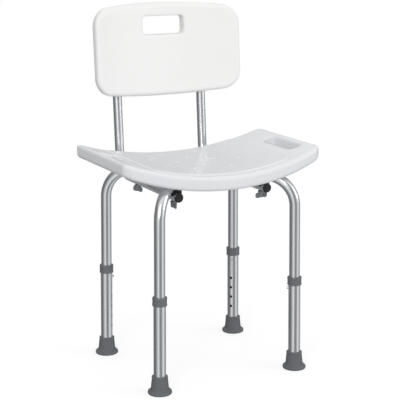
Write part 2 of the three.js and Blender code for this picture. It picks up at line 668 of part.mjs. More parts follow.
function backrest() {
  const along = new THREE.Matrix4().makeBasis(
    new THREE.Vector3(1, 0, 0), new THREE.Vector3().crossVectors(backHeading, new THREE.Vector3(1, 0, 0)),
    backHeading);
  const onTube = (geometry, x, z) =>
    solid(geometry.applyMatrix4(along.clone().setPosition(x, upright(z), z)));
  const socketTall = BACK_TUBE_TOP_Z + 6 - SOCKET_LOW;
  const sides = [-BACK_TUBE_X, BACK_TUBE_X];
  const sockets = sides.map((x) => onTube(turned([[0, 0], [SOCKET_R, 0], [SOCKET_R, socketTall - 5],
    [SOCKET_R - 4, socketTall], [0, socketTall]], 16), x, SOCKET_LOW));
  const webs = sides.map((x) => onTube(
    box(-13, 13, -35, 0, 0, socketTall - 6), x, SOCKET_LOW));
  const bores = sides.map((x) => onTube(
    rod(BACK_TUBE_R + GAP, -40, BACK_TUBE_TOP_Z - SOCKET_LOW + 1, 20), x, SOCKET_LOW));
  const boreWalls = sides.map((x) => onTube(
    rod(BACK_TUBE_R + 3, -40, BACK_TUBE_TOP_Z - SOCKET_LOW + 5, 14), x, SOCKET_LOW));
  const slot = (grow) => solid(slotCutter(BACK_SLOT_HALF[0] + grow, BACK_SLOT_HALF[1] + grow, 9 + grow,
    0, 0, -80, 80).rotateX(Math.PI / 2).translate(0, upright(BACK_SLOT_Z), BACK_SLOT_Z));
  const screws = sides.flatMap((x) => BACK_SCREW_Z.map((z) => screwBore(x, z, 2.6, 0, 30)));
  const hollow = cut(
    solid(moulded(backOutline, BACKREST_THICK, 12, placeOnBack, BACKREST_WALL)),
    slot(BACKREST_WALL), ...boreWalls);
  const vent = solid(rod(2.5, BACKREST_LOW - 40, BACKREST_LOW + 10, 6).translate(0, BACKREST_Y - 6, 0));
  return part('backrest', cut(
    [...sockets, ...webs].reduce((whole, piece) => whole.add(piece),
      solid(moulded(backOutline, BACKREST_THICK, 12, placeOnBack))),
    slot(0), ...bores, ...screws, hollow, vent,
  ), WHITE_PLASTIC);
}

function backScrew(name, x, z) {
  const seatFace = SOCKET_R + 0.4;
  return part(name, turned([[0, 4], [2, 4], [2.3, 5], [2.3, seatFace], [4.8, seatFace],
    [4.4, seatFace + 1.8], [0, seatFace + 2.8]], 12)
    .rotateX(-Math.PI / 2).translate(x, upright(z), z), STEEL);
}

// ---------- assembly ----------

const stool = new THREE.Group();
const seating = new THREE.Group();
const [frontLeft, frontRight, rearRight, rearLeft] = LEGS;

seating.add(
  seat(),
  backrest(),
  legFrame('leg_frame_a', frontLeft, rearRight, 1),
  legFrame('leg_frame_b', frontRight, rearLeft, -1),
  crossBolt(),
  crossNut(),
  backTube('back_tube_left', -BACK_TUBE_X),
  backTube('back_tube_right', BACK_TUBE_X),
  endPlug('end_plug_left', -BACK_TUBE_X),
  endPlug('end_plug_right', BACK_TUBE_X),
  backScrew('back_screw_left_lower', -BACK_TUBE_X, BACK_SCREW_Z[0]),
  backScrew('back_screw_left_upper', -BACK_TUBE_X, BACK_SCREW_Z[1]),
  backScrew('back_screw_right_lower', BACK_TUBE_X, BACK_SCREW_Z[0]),
  backScrew('back_screw_right_upper', BACK_TUBE_X, BACK_SCREW_Z[1]),
);
for (const crossing of crossings) {
  seating.add(tubeSaddle(crossing), seatInsert(crossing), knobStud(crossing), wingKnob(crossing));
}
stool.add(seating);
for (const leg of LEGS) {
  const lowerLeg = new THREE.Group();
  lowerLeg.add(lowerTube(leg), collar(leg), foot(leg), footWasher(leg));
  stool.add(lowerLeg, snapButton(leg), leafSpring(leg));
}
stool.position.y = ORIGIN_SHIFT_Y;

export default stool;
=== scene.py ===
# %% [markdown]
# # A shower stool with a backrest
# The stool is a shop-made thing of few materials: two blow-moulded white plastic panels, bent
# aluminium tubes, rubber feet and a few small moulded and turned fittings. The CAD frame gives the
# place and the size of every piece. This script builds the looks round it: each piece again with
# fine curves, and a finish for each material. The first cell loads the frame.

# %% Load the frame
import json
import math

import bmesh
import bpy
import numpy as np
from mathutils import Matrix, Vector


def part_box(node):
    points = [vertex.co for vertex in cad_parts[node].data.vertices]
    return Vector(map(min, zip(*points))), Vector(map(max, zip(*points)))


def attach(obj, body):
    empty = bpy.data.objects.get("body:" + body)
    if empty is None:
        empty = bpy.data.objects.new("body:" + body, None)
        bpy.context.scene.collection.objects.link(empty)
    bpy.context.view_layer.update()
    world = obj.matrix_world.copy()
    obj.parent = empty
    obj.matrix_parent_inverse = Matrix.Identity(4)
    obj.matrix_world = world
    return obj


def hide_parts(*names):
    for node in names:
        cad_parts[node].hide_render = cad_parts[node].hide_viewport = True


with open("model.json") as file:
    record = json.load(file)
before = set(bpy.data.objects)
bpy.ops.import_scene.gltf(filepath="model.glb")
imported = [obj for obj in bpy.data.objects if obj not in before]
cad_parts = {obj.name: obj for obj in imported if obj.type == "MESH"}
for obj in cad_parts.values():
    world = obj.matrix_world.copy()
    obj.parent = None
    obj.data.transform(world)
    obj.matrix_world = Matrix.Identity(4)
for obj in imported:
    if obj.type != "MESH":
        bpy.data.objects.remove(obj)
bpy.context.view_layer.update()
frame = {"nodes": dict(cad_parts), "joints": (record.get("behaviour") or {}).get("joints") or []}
joints = {joint["name"]: joint for joint in frame["joints"]}
CORNERS = ("front_left", "front_right", "rear_right", "rear_left")
MM = 0.001
print("CAD nodes:", len(frame["nodes"]), "joints:", len(joints))

# %% [markdown]
# ## The camera
# A stool is shown best from a little above the seat and through a long lens, so that its legs stay
# nearly parallel. A shorter lens from nearby would give the same size, but the legs would spread: here
# the camera stands about three metres off.

# %% Camera
CAMERA_AT = Vector((-1.32876, -2.59213, 1.06732))
CAMERA_TOWARDS = Vector((0.44952, 0.86467, -0.22423))
LENS = 111.55

camera_data = bpy.data.cameras.new("camera")
camera_data.lens = LENS
camera_data.sensor_width = 36
camera = bpy.data.objects.new("camera", camera_data)
camera.location = CAMERA_AT
camera.rotation_euler = CAMERA_TOWARDS.to_track_quat("-Z", "Y").to_euler()
bpy.context.scene.collection.objects.link(camera)
bpy.context.scene.camera = camera
print("lens:", LENS, "mm, camera", round(CAMERA_AT.length, 2), "m from the stool's foot")

# %% [markdown]
# ## Writing finishes as sums
# Blender makes a material from nodes joined by wires. Placing them by hand hides the idea, and a
# long list of calls does too. A small class that wraps a socket lets Python's own operators add the
# Math nodes, so that a finish reads as the sum that it is.

# %% A socket that can be added and multiplied
class Value:
    """A socket of a finish. Arithmetic with it adds the Math node that works it out."""

    def __init__(self, finish, socket):
        self.finish = finish
        self.socket = socket

    def maths(self, operation, *operands):
        return self.finish.node("ShaderNodeMath", {"operation": operation}, dict(enumerate(operands)))

    def __add__(self, other):
        return self.maths("ADD", self, other)

    def __sub__(self, other):
        return self.maths("SUBTRACT", self, other)

    def __rsub__(self, other):
        return self.maths("SUBTRACT", other, self)

    def __mul__(self, other):
        return self.maths("MULTIPLY", self, other)

    def __pow__(self, other):
        return self.maths("POWER", self, other)

    __radd__ = __add__
    __rmul__ = __mul__


# %% A finish and its one way to add a node
class Finish:
    """A material that is built up node by node, and ends in one Principled shader."""

    def __init__(self, name):
        self.material = bpy.data.materials.new(name)
        self.material.use_nodes = True
        self.tree = self.material.node_tree
        self.tree.nodes.clear()

    def node(self, kind, settings=None, sockets=None, out=0):
        """Adds a node: its settings first, then each socket's value or link. Returns one output."""
        made = self.tree.nodes.new(kind)
        for setting, value in (settings or {}).items():
            setattr(made, setting, value)
        for name, value in (sockets or {}).items():
            if isinstance(value, Value):
                self.tree.links.new(value.socket, made.inputs[name])
            else:
                made.inputs[name].default_value = value
        return Value(self, made.outputs[out]) if made.outputs else None

    def place(self, stretch=(1, 1, 1)):
        """Where a point is on its piece, in metres, stretched along each axis."""
        point = self.node("ShaderNodeTexCoord", out="Object")
        return self.node("ShaderNodeMapping", {"vector_type": "POINT"}, {"Vector": point, "Scale": stretch})

    def noise(self, scale, stretch=(1, 1, 1), detail=2.0):
        """Soft random cloud from 0 to 1; `scale` is how many of its lumps fit in a metre."""
        return self.node("ShaderNodeTexNoise", None,
                         {"Vector": self.place(stretch), "Scale": scale, "Detail": detail})

    def pebbles(self, scale, smoothness=0.6):
        """Rounded grain like fine leather: 0 in the middle of a pebble, higher between them."""
        return self.node("ShaderNodeTexVoronoi", {"feature": "SMOOTH_F1"},
                         {"Vector": self.place(), "Scale": scale, "Smoothness": smoothness})

    def blend(self, share, low, high):
        """A colour between `low` and `high`."""
        ends = {0: share, 6: (*low, 1), 7: (*high, 1)}
        return self.node("ShaderNodeMix", {"data_type": "RGBA"}, ends, out=2)

    def bump(self, height, depth, strength=1.0):
        return self.node("ShaderNodeBump", None, {"Height": height, "Distance": depth, "Strength": strength})

    def surface(self, **looks):
        """Ends the finish: each look is a socket of the Principled shader, such as base_color."""
        odd_names = {"ior": "IOR", "specular_level": "Specular IOR Level"}
        sockets = {odd_names.get(look, look.replace("_", " ").title()): value
                   for look, value in looks.items()}
        shader = self.node("ShaderNodeBsdfPrincipled", None, sockets)
        self.node("ShaderNodeOutputMaterial", None, {"Surface": shader})
        return self.material


print("finishes are written with", Value.__name__, "and", Finish.__name__)

# %% [markdown]
# ## The studio
# Polished tubes show the room more than they show themselves, so the room is built for them: tall
# white screens stand to the left of the lens and at the right, with darker gaps between. A picture of
# a real studio could do that, but a ramp round the compass is easier to steer and nothing has to be
# loaded. Overhead the room is evenly bright. Rays that go straight to the lens see plain white.

# %% The room's light
TOWARDS_CAMERA = -Vector((CAMERA_TOWARDS.x, CAMERA_TOWARDS.y, 0)).normalized()
CAMERA_RIGHT = Vector((0, 0, 1)).cross(TOWARDS_CAMERA)
SCREENS = ((-180, 0.50), (-128, 0.22), (-97, 0.14), (-74, 0.22), (-45, 0.50), (-24, 1.05), (-8, 0.62),
           (12, 0.20), (34, 0.26), (50, 0.60), (70, 1.05), (95, 0.52), (125, 0.32), (180, 0.50))
SCREEN_TINT = (0.985, 0.992, 1.0)
OVERHEAD, CEILING_FADE = 0.86, (0.35, 0.8)

bpy.context.scene.view_settings.view_transform = "Standard"
world = bpy.data.worlds.new("studio")
world.use_nodes = True
bpy.context.scene.world = world


class Room(Finish):
    """The room's light is made of nodes too, so it is written in the same way as a finish."""

    def __init__(self, tree):
        self.tree = tree
        self.tree.nodes.clear()


def paint_room(tree):
    """White screens round the compass, an even ceiling, and plain white for the lens."""
    room = Room(tree)
    towards = room.node("ShaderNodeTexCoord", out="Generated")
    along = {"operation": "DOT_PRODUCT"}
    right, near = [room.node("ShaderNodeVectorMath", along, {0: towards, 1: way}, "Value")
                   for way in (CAMERA_RIGHT, TOWARDS_CAMERA)]
    turn = right.maths("ARCTAN2", right, near) * (0.5 / math.pi) + 0.5
    ramp = room.node("ShaderNodeValToRGB", None, {"Fac": turn})
    stops = ramp.socket.node.color_ramp.elements
    while len(stops) < len(SCREENS):
        stops.new(0.5)
    for stop, (degrees, bright) in zip(stops, SCREENS):
        stop.position = (degrees + 180) / 360
        stop.color = (*(bright * tint for tint in SCREEN_TINT), 1)
    height = room.node("ShaderNodeSeparateXYZ", None, {"Vector": towards}, "Z")
    ceiling = room.node("ShaderNodeMapRange", {"interpolation_type": "SMOOTHSTEP"},
                        {"Value": height, "From Min": CEILING_FADE[0], "From Max": CEILING_FADE[1]})
    light = room.node("ShaderNodeMix", {"data_type": "RGBA"},
                      {0: ceiling, 6: ramp, 7: (OVERHEAD, OVERHEAD, OVERHEAD, 1)}, 2)
    lens = room.node("ShaderNodeLightPath", out="Is Camera Ray")
    seen = room.node("ShaderNodeMix", {"data_type": "RGBA"}, {0: lens, 6: light, 7: (1, 1, 1, 1)}, 2)
    glow = room.node("ShaderNodeBackground", None, {"Color": seen})
    room.node("ShaderNodeOutputWorld", None, {"Surface": glow})


paint_room(world.node_tree)
print("screens at", [degrees for degrees, bright in SCREENS if bright > 1], "degrees from the lens")

# %% [markdown]
# ## Soft lights and the floor
# Three broad discs light the white plastic from the front left, the right and behind. The floor is a
# pale disc that fades into the backdrop, so that no horizon cuts through the picture. It glows a
# little by itself, as a lit paper sweep does. It is neither mirrored in the tubes nor lights them from
# below, since a glowing floor would wash out the shadows under the seat.

# %% Lights and floor
SOFT_LIGHTS = {
    "left_light": ((-2.4, -3.0, 1.9), 1.9, 52),
    "right_light": ((2.6, -2.0, 1.4), 1.6, 18),
    "back_light": ((0.6, 2.8, 2.6), 2.0, 7),
}
FLOOR_RADIUS, FLOOR_FADE = 1.7, (0.7, 1.6)


def soft_light(name, at, size, power, aim=Vector((0, 0, 0.5))):
    data = bpy.data.lights.new(name, "AREA")
    data.shape = "DISK"
    data.size = size
    data.energy = power
    light = bpy.data.objects.new(name, data)
    light.location = at
    light.rotation_euler = (aim - Vector(at)).to_track_quat("-Z", "Y").to_euler()
    bpy.context.scene.collection.objects.link(light)


for light_name, (light_at, light_size, light_power) in SOFT_LIGHTS.items():
    soft_light(light_name, light_at, light_size, light_power)


def floor_paint():
    paint = Finish("floor_white")
    point = paint.node("ShaderNodeTexCoord", out="Object")
    away = paint.node("ShaderNodeVectorMath", {"operation": "LENGTH"}, {0: point}, "Value")
    fade = paint.node("ShaderNodeMapRange", {"interpolation_type": "SMOOTHSTEP"},
                      {"Value": away, "From Min": FLOOR_FADE[0], "From Max": FLOOR_FADE[1]})
    return paint.surface(base_color=(0.36, 0.36, 0.362, 1), roughness=1.0, specular_level=0.0,
                         alpha=1 - fade, emission_color=(1, 1, 1, 1), emission_strength=0.70)


floor_mesh = bpy.data.meshes.new("floor")
floor_shape = bmesh.new()
bmesh.ops.create_circle(floor_shape, cap_ends=True, radius=FLOOR_RADIUS, segments=96)
floor_shape.to_mesh(floor_mesh)
floor_shape.free()
floor_mesh.materials.append(floor_paint())
floor_sheet = bpy.data.objects.new("floor", floor_mesh)
floor_sheet.visible_glossy = False
floor_sheet.visible_diffuse = False
bpy.context.scene.collection.objects.link(floor_sheet)
print("lights:", ", ".join(SOFT_LIGHTS))

# %% [markdown]
# ## White moulded plastic
# The seat and the backrest are blown from white polyethylene in a mould whose walls were etched, so
# the surface has a fine grain like orange peel, and it shines softly. The grain could be a picture
# wrapped round the panel, but a pebble pattern in space has no seams. It goes into the bump, and
# barely into the colour, as painted shade that is a little darker between the pebbles.

# %% White plastic
GRAIN_PER_METRE = 420
GRAIN_DEPTH = 0.00022


def white_plastic(name, base, shaded, shine=0.36):
    paint = Finish(name)
    grain = 1 - paint.pebbles(GRAIN_PER_METRE)
    clouds = paint.noise(9)
    handling = paint.noise(70, (1, 0.35, 1), 4)
    relief = grain + paint.noise(1500) * 0.3
    return paint.surface(
        # Painted shade: the colour is a little darker between the grain's pebbles; the soft clouds add
        # random tone.
        base_color=paint.blend(clouds * 0.7 + grain * 0.3, shaded, base),
        roughness=shine + handling * 0.12 + clouds * 0.05,
        normal=paint.bump(relief, GRAIN_DEPTH, 0.7),
        ior=1.5,
    )


seat_plastic = white_plastic("seat_plastic", (0.86, 0.865, 0.885), (0.78, 0.785, 0.805), 0.26)
# Partly painted light: the backrest's white is lighter than the seat's, in place of the bounce light that
# the floor does not give it.
backrest_plastic_painted_lighter = white_plastic("backrest_plastic_painted_lighter", (0.95, 0.947, 0.935), (0.90, 0.897, 0.885))
print("grain every", round(1000 / GRAIN_PER_METRE, 1), "mm")

# %% [markdown]
# ## Satin aluminium
# The tubes are drawn, then anodised: drawing leaves faint lines along them and anodising dulls the
# shine. Noise that is stretched a hundredfold along the tube gives the lines. It changes roughness
# more than colour, so the streaks of reflected light get soft, slightly broken edges.

# %% Aluminium, steel and brass
def drawn_metal(name, light, dark, roughness, stretch, line_depth=0.00001):
    """A metal with fine lines along one axis, the one whose stretch is least."""
    paint = Finish(name)
    lines = paint.noise(1, stretch, 3)
    clouds = paint.noise(14)
    return paint.surface(
        base_color=paint.blend(lines * 0.6 + clouds * 0.4, dark, light),
        metallic=1.0,
        roughness=roughness + lines * 0.08 + clouds * 0.03,
        normal=paint.bump(lines, line_depth, 0.5),
    )


UP_THE_TUBE = (900, 900, 9)
aluminium = drawn_metal("satin_aluminium", (0.79, 0.80, 0.82), (0.74, 0.75, 0.77), 0.22, UP_THE_TUBE)
steel = drawn_metal("zinc_plated_steel", (0.66, 0.67, 0.68), (0.52, 0.53, 0.55), 0.22, (600, 600, 600))
brass = drawn_metal("turned_brass", (0.76, 0.58, 0.30), (0.62, 0.46, 0.22), 0.26, (300, 300, 2000))
print("metals:", aluminium.name, steel.name, brass.name)

# %% [markdown]
# ## Rubber and the small mouldings
# The feet are soft grey rubber, matt and slightly dusty; the collars and the wing knobs are grey
# nylon; the saddles and plugs are black. One recipe serves all of them, because what sets them apart
# is only how light, how rough and how coarse in grain each one is.

# %% Rubber and coloured plastics
def dull_moulding(name, base, worn, roughness, grain_per_metre, depth):
    paint = Finish(name)
    grain = paint.noise(grain_per_metre, detail=3)
    dust = paint.noise(45, detail=4) ** 2
    return paint.surface(
        base_color=paint.blend(dust * 0.8 + grain * 0.3, base, worn),
        roughness=roughness + grain * 0.10 + dust * 0.12,
        normal=paint.bump(grain, depth, 0.6),
    )


RUBBER_GRAIN, NYLON_GRAIN, BLACK_GRAIN = (1400, 0.15 * MM), (1800, 0.1 * MM), (1500, 0.1 * MM)
grey_rubber = dull_moulding("grey_rubber", (0.118, 0.125, 0.137), (0.16, 0.168, 0.18), 0.62, *RUBBER_GRAIN)
grey_plastic = dull_moulding("grey_nylon", (0.135, 0.142, 0.155), (0.18, 0.187, 0.20), 0.42, *NYLON_GRAIN)
knob_plastic = dull_moulding("knob_nylon", (0.20, 0.205, 0.215), (0.26, 0.265, 0.275), 0.40, *NYLON_GRAIN)
black_plastic = dull_moulding("black_plastic", (0.006, 0.006, 0.006), (0.014, 0.014, 0.015), 0.45,
                              *BLACK_GRAIN)
print("dull mouldings:", grey_rubber.name, grey_plastic.name, knob_plastic.name, black_plastic.name)

# %% [markdown]
# ## From rings to a mesh
# Nearly every piece here is a row of rings: a turned foot is a circle that changes its radius on the
# way up, and a tube is a circle that travels. Blender's own curve bevels and screw modifiers can do
# each of these, but rings made with a formula keep exact sizes, real wall thickness and eased ends,
# so one `skin` helper joins them into closed bodies.

# %% Skin over rings
def piece_from(name, points, faces):
    """A closed body: doubled points are merged and its faces look outward."""
    mesh = bpy.data.meshes.new(name)
    mesh.from_pydata([tuple(point) for point in points], [], faces)
    build = bmesh.new()
    build.from_mesh(mesh)
    bmesh.ops.remove_doubles(build, verts=build.verts, dist=2e-6)
    bmesh.ops.recalc_face_normals(build, faces=build.faces)
    build.to_mesh(mesh)
    build.free()
    made = bpy.data.objects.new(name, mesh)
    bpy.context.scene.collection.objects.link(made)
    return made


def skin(name, rings, looped=False):
    """Joins rings of points into a body. Looped rings meet again; others end in a point or a disc."""
    rings = np.asarray(rings, float)
    rows, around = rings.shape[:2]
    faces = []
    for row in range(rows if looped else rows - 1):
        here, there = row * around, (row + 1) % rows * around
        for k in range(around):
            after = (k + 1) % around
            faces.append((here + k, here + after, there + after, there + k))
    return piece_from(name, rings.reshape(-1, 3), faces)


# %% Eased corners and turned pieces
def eased(outline, radius, steps=5):
    """The same open outline with its inner corners rounded. A point's third number is its own radius."""
    points = [np.array(point[:2], float) for point in outline]
    radii = [point[2] if len(point) > 2 else radius for point in outline]
    smooth = [points[0]]
    for before, corner, after, own in zip(points, points[1:], points[2:], radii[1:]):
        back, on = before - corner, after - corner
        reach = min(own, np.linalg.norm(back) * 0.45, np.linalg.norm(on) * 0.45)
        start = corner + back / np.linalg.norm(back) * reach
        end = corner + on / np.linalg.norm(on) * reach
        for share in np.linspace(0, 1, steps + 1):
            smooth.append((1 - share) ** 2 * start + 2 * share * (1 - share) * corner + share ** 2 * end)
    return smooth + [points[-1]]


def turned(name, outline, axes=Matrix.Identity(4), sides=64, looped=False):
    """Turns (radius, height) pairs round the axes' Z."""
    angle = np.linspace(0, 2 * math.pi, sides, endpoint=False)
    rings = [np.stack([radius * np.cos(angle), radius * np.sin(angle), np.full(sides, height)], 1)
             for radius, height in outline]
    made = skin(name, rings, looped)
    made.data.transform(axes)
    return made


# %% Routes and tubes
def bent(corners, radius, run_step=0.012, bend_steps=18):
    """Points and headings along straight runs, joined by round bends."""
    corners = [Vector(corner) for corner in corners]
    headings = [(b - a).normalized() for a, b in zip(corners, corners[1:])]
    route, start = [], corners[0]

    def run(end, heading):
        steps = max(1, round((end - start).length / run_step))
        route.extend((start.lerp(end, i / steps), heading) for i in range(steps))

    for corner, into, out in zip(corners[1:], headings, headings[1:]):
        turn = into.angle(out)
        inside = (out - into * out.dot(into)).normalized()
        setback = radius * math.tan(turn / 2)
        bend_start = corner - into * setback
        run(bend_start, into)
        centre = bend_start + inside * radius
        for i in range(bend_steps):
            angle = turn * i / bend_steps
            route.append((centre - inside * radius * math.cos(angle) + into * radius * math.sin(angle),
                          into * math.cos(angle) + inside * math.sin(angle)))
        start = corner + out * setback
    run(corners[-1], headings[-1])
    return route + [(corners[-1], headings[-1])]


def tube(name, route, side, outer, inner, sides=44, shape=None):
    """A tube along a flat route; `side` is square to the route's plane. `shape` may press it."""
    ease = 0.3 * MM
    angle = np.linspace(0, 2 * math.pi, sides, endpoint=False)

    def ring(at, heading, radius):
        up = Vector(side).cross(heading)
        points = np.array(at) + radius * np.outer(np.cos(angle), side) + radius * np.outer(np.sin(angle), up)
        return shape(points, radius) if shape else points

    (first, first_way), (last, last_way) = route[0], route[-1]
    outside = [(first, first_way, outer - ease), (first + first_way * ease, first_way, outer)]
    outside += [(at, way, outer) for at, way in route[1:-1]]
    outside += [(last - last_way * ease, last_way, outer), (last, last_way, outer - ease)]
    inside = [(at, way, inner) for at, way in reversed(route)]
    return skin(name, [ring(*station) for station in outside + inside], looped=True)


# %% Plain tools to cut with
def rod(radius, low, high, axes=Matrix.Identity(4), sides=32):
    """A round bar along Z."""
    return turned("tool", [(0, low), (radius, low), (radius, high), (0, high)], axes, sides)


def block_on(axes, low, high):
    """A box between two corners in the axes' own directions."""
    mesh = bpy.data.meshes.new("block")
    build = bmesh.new()
    low, high = Vector(low), Vector(high)
    bmesh.ops.create_cube(build, size=1, matrix=axes @ Matrix.Translation((low + high) / 2)
                          @ Matrix.Diagonal((*(high - low), 1)))
    build.to_mesh(mesh)
    build.free()
    made = bpy.data.objects.new("block", mesh)
    bpy.context.scene.collection.objects.link(made)
    return made


# %% Cutting, joining and finishing a piece
def worked(piece):
    """Works a piece's modifiers into its mesh."""
    graph = bpy.context.evaluated_depsgraph_get()
    done = bpy.data.meshes.new_from_object(piece.evaluated_get(graph))
    piece.modifiers.clear()
    raw, piece.data = piece.data, done
    bpy.data.meshes.remove(raw)
    return piece


def combine(piece, tools, operation="DIFFERENCE"):
    """Cuts the tools from a piece, or joins them to it, and throws the tools away."""
    for tool in tools:
        step = piece.modifiers.new(operation.lower(), "BOOLEAN")
        step.operation = operation
        step.solver = "EXACT"
        step.object = tool
    worked(piece)
    for tool in tools:
        bpy.data.objects.remove(tool)
    return piece


def moulded_skin(piece, cell, passes):
    """Wraps a piece in an even fine skin and relaxes it, which eases every edge as a mould does."""
    wrap = piece.modifiers.new("wrap", "REMESH")
    wrap.mode = "VOXEL"
    wrap.voxel_size = cell
    relax = piece.modifiers.new("relax", "SMOOTH")
    relax.factor = 0.5
    relax.iterations = passes
    return worked(piece)


def finished(piece, finish, body, slot, node, crease=35):
    """Gives a piece its finish, its shading and its body, and hides the CAD node that it stands for."""
    piece.data.materials.clear()
    piece.data.materials.append(finish)
    piece.data.shade_smooth()
    piece.data.set_sharp_from_angle(angle=math.radians(crease))
    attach(piece, body)
    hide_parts(node)
    return piece


print("helpers:", ", ".join(tool.__name__ for tool in (skin, turned, tube, combine, moulded_skin, finished)))

# %% [markdown]
# ## Where the legs stand
# Each leg leans in a little along its diagonal. Instead of working the lean out again, the script
# reads it from the frame: the joint that lengthens a leg points up the leg, and the joint that
# presses its snap button points out of it. With the foot's place, those make the leg's own axes.

# %% The legs' own axes
FRAME_BODY = "seat_and_frame"


def leg_axes(corner):
    """X points in along the diagonal, Z up the leg, and the origin is on the floor."""
    up_leg = Vector(joints[f"leg_slide_{corner}"]["axis"])
    inward = -Vector(joints[f"button_press_{corner}"]["axis"])
    low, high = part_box(f"foot_washer_{corner}")
    centre = (low + high) / 2
    axes = Matrix((inward, up_leg.cross(inward), up_leg)).transposed().to_4x4()
    axes.translation = centre - up_leg * (centre.z / up_leg.z)
    return axes


legs = {corner: leg_axes(corner) for corner in CORNERS}
middle = sum((axes.translation for axes in legs.values()), Vector()) / len(legs)
print("legs cross over y =", round(middle.y, 4))

# %% [markdown]
# ## The leg frames
# Two long tubes are bent into a U each, and cross under the seat. Where they cross, both are pressed
# flat, one up and one down, so that neither has to be cut. The pressing is a smooth function of the
# distance from the crossing, applied to the rings of points before they are skinned.

# %% Leg frames
TUBE_WALL = 1.3 * MM
UPPER_RADIUS = 12.7 * MM
FRAME_TOP = 471 * MM
FRAME_BEND = 70 * MM
UPPER_END = 160 * MM
FLAT_HALF, FLAT_FADE = 21 * MM, 48 * MM
FLAT_SQUASH, FLAT_OFFSET, FLAT_SPREAD = 0.48, 6.5 * MM, 0.3
BUTTON_UP, HOLE_RADIUS = 200 * MM, 3.5 * MM
STUD_ROOM = 3.3 * MM
DRILL_REACH = 20 * MM
FRAMES = {"leg_frame_a": ("front_left", "rear_right", 1), "leg_frame_b": ("front_right", "rear_left", -1)}


def up_leg(axes, distance):
    return axes @ Vector((0, 0, distance))


def leg_top(axes):
    """Where the leg's own axis meets the level of the crossing run."""
    return up_leg(axes, FRAME_TOP / axes.col[2].z)


def smoothstep(low, high, value):
    share = np.clip((value - low) / (high - low), 0, 1)
    return share * share * (3 - 2 * share)


def frame_route(axes, opposite, start=UPPER_END):
    return bent([up_leg(axes, start), leg_top(axes), leg_top(opposite), up_leg(opposite, start)], FRAME_BEND)


def frame_side(axes):
    return axes.col[1].to_3d().normalized()


def pressed_flat(axes, lift):
    """A shaper that squashes a frame's rings near the crossing and lifts them over their neighbour."""
    inward = Vector((*axes.col[0][:2], 0)).normalized()
    side = frame_side(axes)

    def shape(points, radius):
        if points[:, 2].mean() < FRAME_TOP - 20 * MM:
            return points
        from_middle = points - np.array(middle)
        press = 1 - smoothstep(FLAT_HALF, FLAT_FADE, np.abs(from_middle @ np.array(inward)))
        across = from_middle @ np.array(side)
        spread = points + np.outer(across * FLAT_SPREAD * press, side)
        rise = spread[:, 2] - FRAME_TOP
        spread[:, 2] = FRAME_TOP + rise * (1 - (1 - FLAT_SQUASH) * press) + lift * FLAT_OFFSET * press
        return spread
    return shape


def button_axes(axes, height):
    """Z out of the leg's inward side at some height up it."""
    return axes @ Matrix.Translation((0, 0, height)) @ Matrix.Rotation(math.pi / 2, 4, "Y")


def button_hole(axes, radius, height, near=6 * MM, far=20 * MM):
    """A round drill that goes through the inward side of a leg."""
    return rod(radius, near, far, button_axes(axes, height))


def crossing_point(corner):
    """Where a leg frame passes over a back tube; the wing knob's joint is there."""
    return Vector(joints[f"knob_turn_{corner}"]["pos_m"])


def upright_drill(at, radius, low, high):
    return rod(radius, low, high, Matrix.Translation((at.x, at.y, 0)))


for node, (corner, opposite, lift) in FRAMES.items():
    first, second = legs[corner], legs[opposite]
    frame_tube = tube(node + "_tube", frame_route(first, second), frame_side(first), UPPER_RADIUS,
                      UPPER_RADIUS - TUBE_WALL, shape=pressed_flat(first, lift))
    drills = [upright_drill(at, STUD_ROOM, FRAME_TOP - DRILL_REACH, FRAME_TOP + DRILL_REACH)
              for at in (middle, crossing_point(corner), crossing_point(opposite))]
    drills += [button_hole(axes, HOLE_RADIUS, BUTTON_UP) for axes in (first, second)]
    finished(combine(frame_tube, drills), aluminium, FRAME_BODY, "aluminium", node)
    print(node, "faces:", len(frame_tube.data.polygons))

# %% [markdown]
# ## The lower legs
# A wider tube slides over each upper one. It has a row of holes an inch apart on its inward side,
# and a spring button of the upper tube snaps into one of them. A grey collar closes the gap at the
# top, and the rubber foot is pushed over the lower end on a steel washer.

# %% Lower tubes
LOWER_RADIUS, LOWER_BORE = 14.3 * MM, 13.0 * MM
LOWER_END, LOWER_TOP = 10.2 * MM, 225.5 * MM
HOLE_PITCH, HOLE_COUNT = 25.4 * MM, 6

for corner, axes in legs.items():
    route = [(up_leg(axes, height), axes.col[2].to_3d()) for height in np.linspace(LOWER_END, LOWER_TOP, 20)]
    lower_tube = tube(f"lower_leg_tube_{corner}", route, frame_side(axes), LOWER_RADIUS, LOWER_BORE)
    combine(lower_tube, [button_hole(axes, HOLE_RADIUS, BUTTON_UP - i * HOLE_PITCH, 8 * MM)
                         for i in range(HOLE_COUNT)])
    finished(lower_tube, aluminium, f"lower_leg_{corner}", "aluminium", f"lower_tube_{corner}")
print("holes per leg:", HOLE_COUNT)

# %% [markdown]
# ## Collars
# A collar is a moulded ring with a lip at the top that turns in over the tube's end, and a grip of
# shallow upright ribs, so that wet fingers can hold it. The ribs are part of the rings: each point of
# the grip moves out and in with a wave round the ring.

# %% Collars
COLLAR_LOW, COLLAR_TOP = 209 * MM, 229 * MM
COLLAR_RADIUS, COLLAR_LIP = 17.1 * MM, 13.0 * MM
RIBS, RIB_DEPTH, RIB_SAMPLES = 30, 0.35 * MM, 6


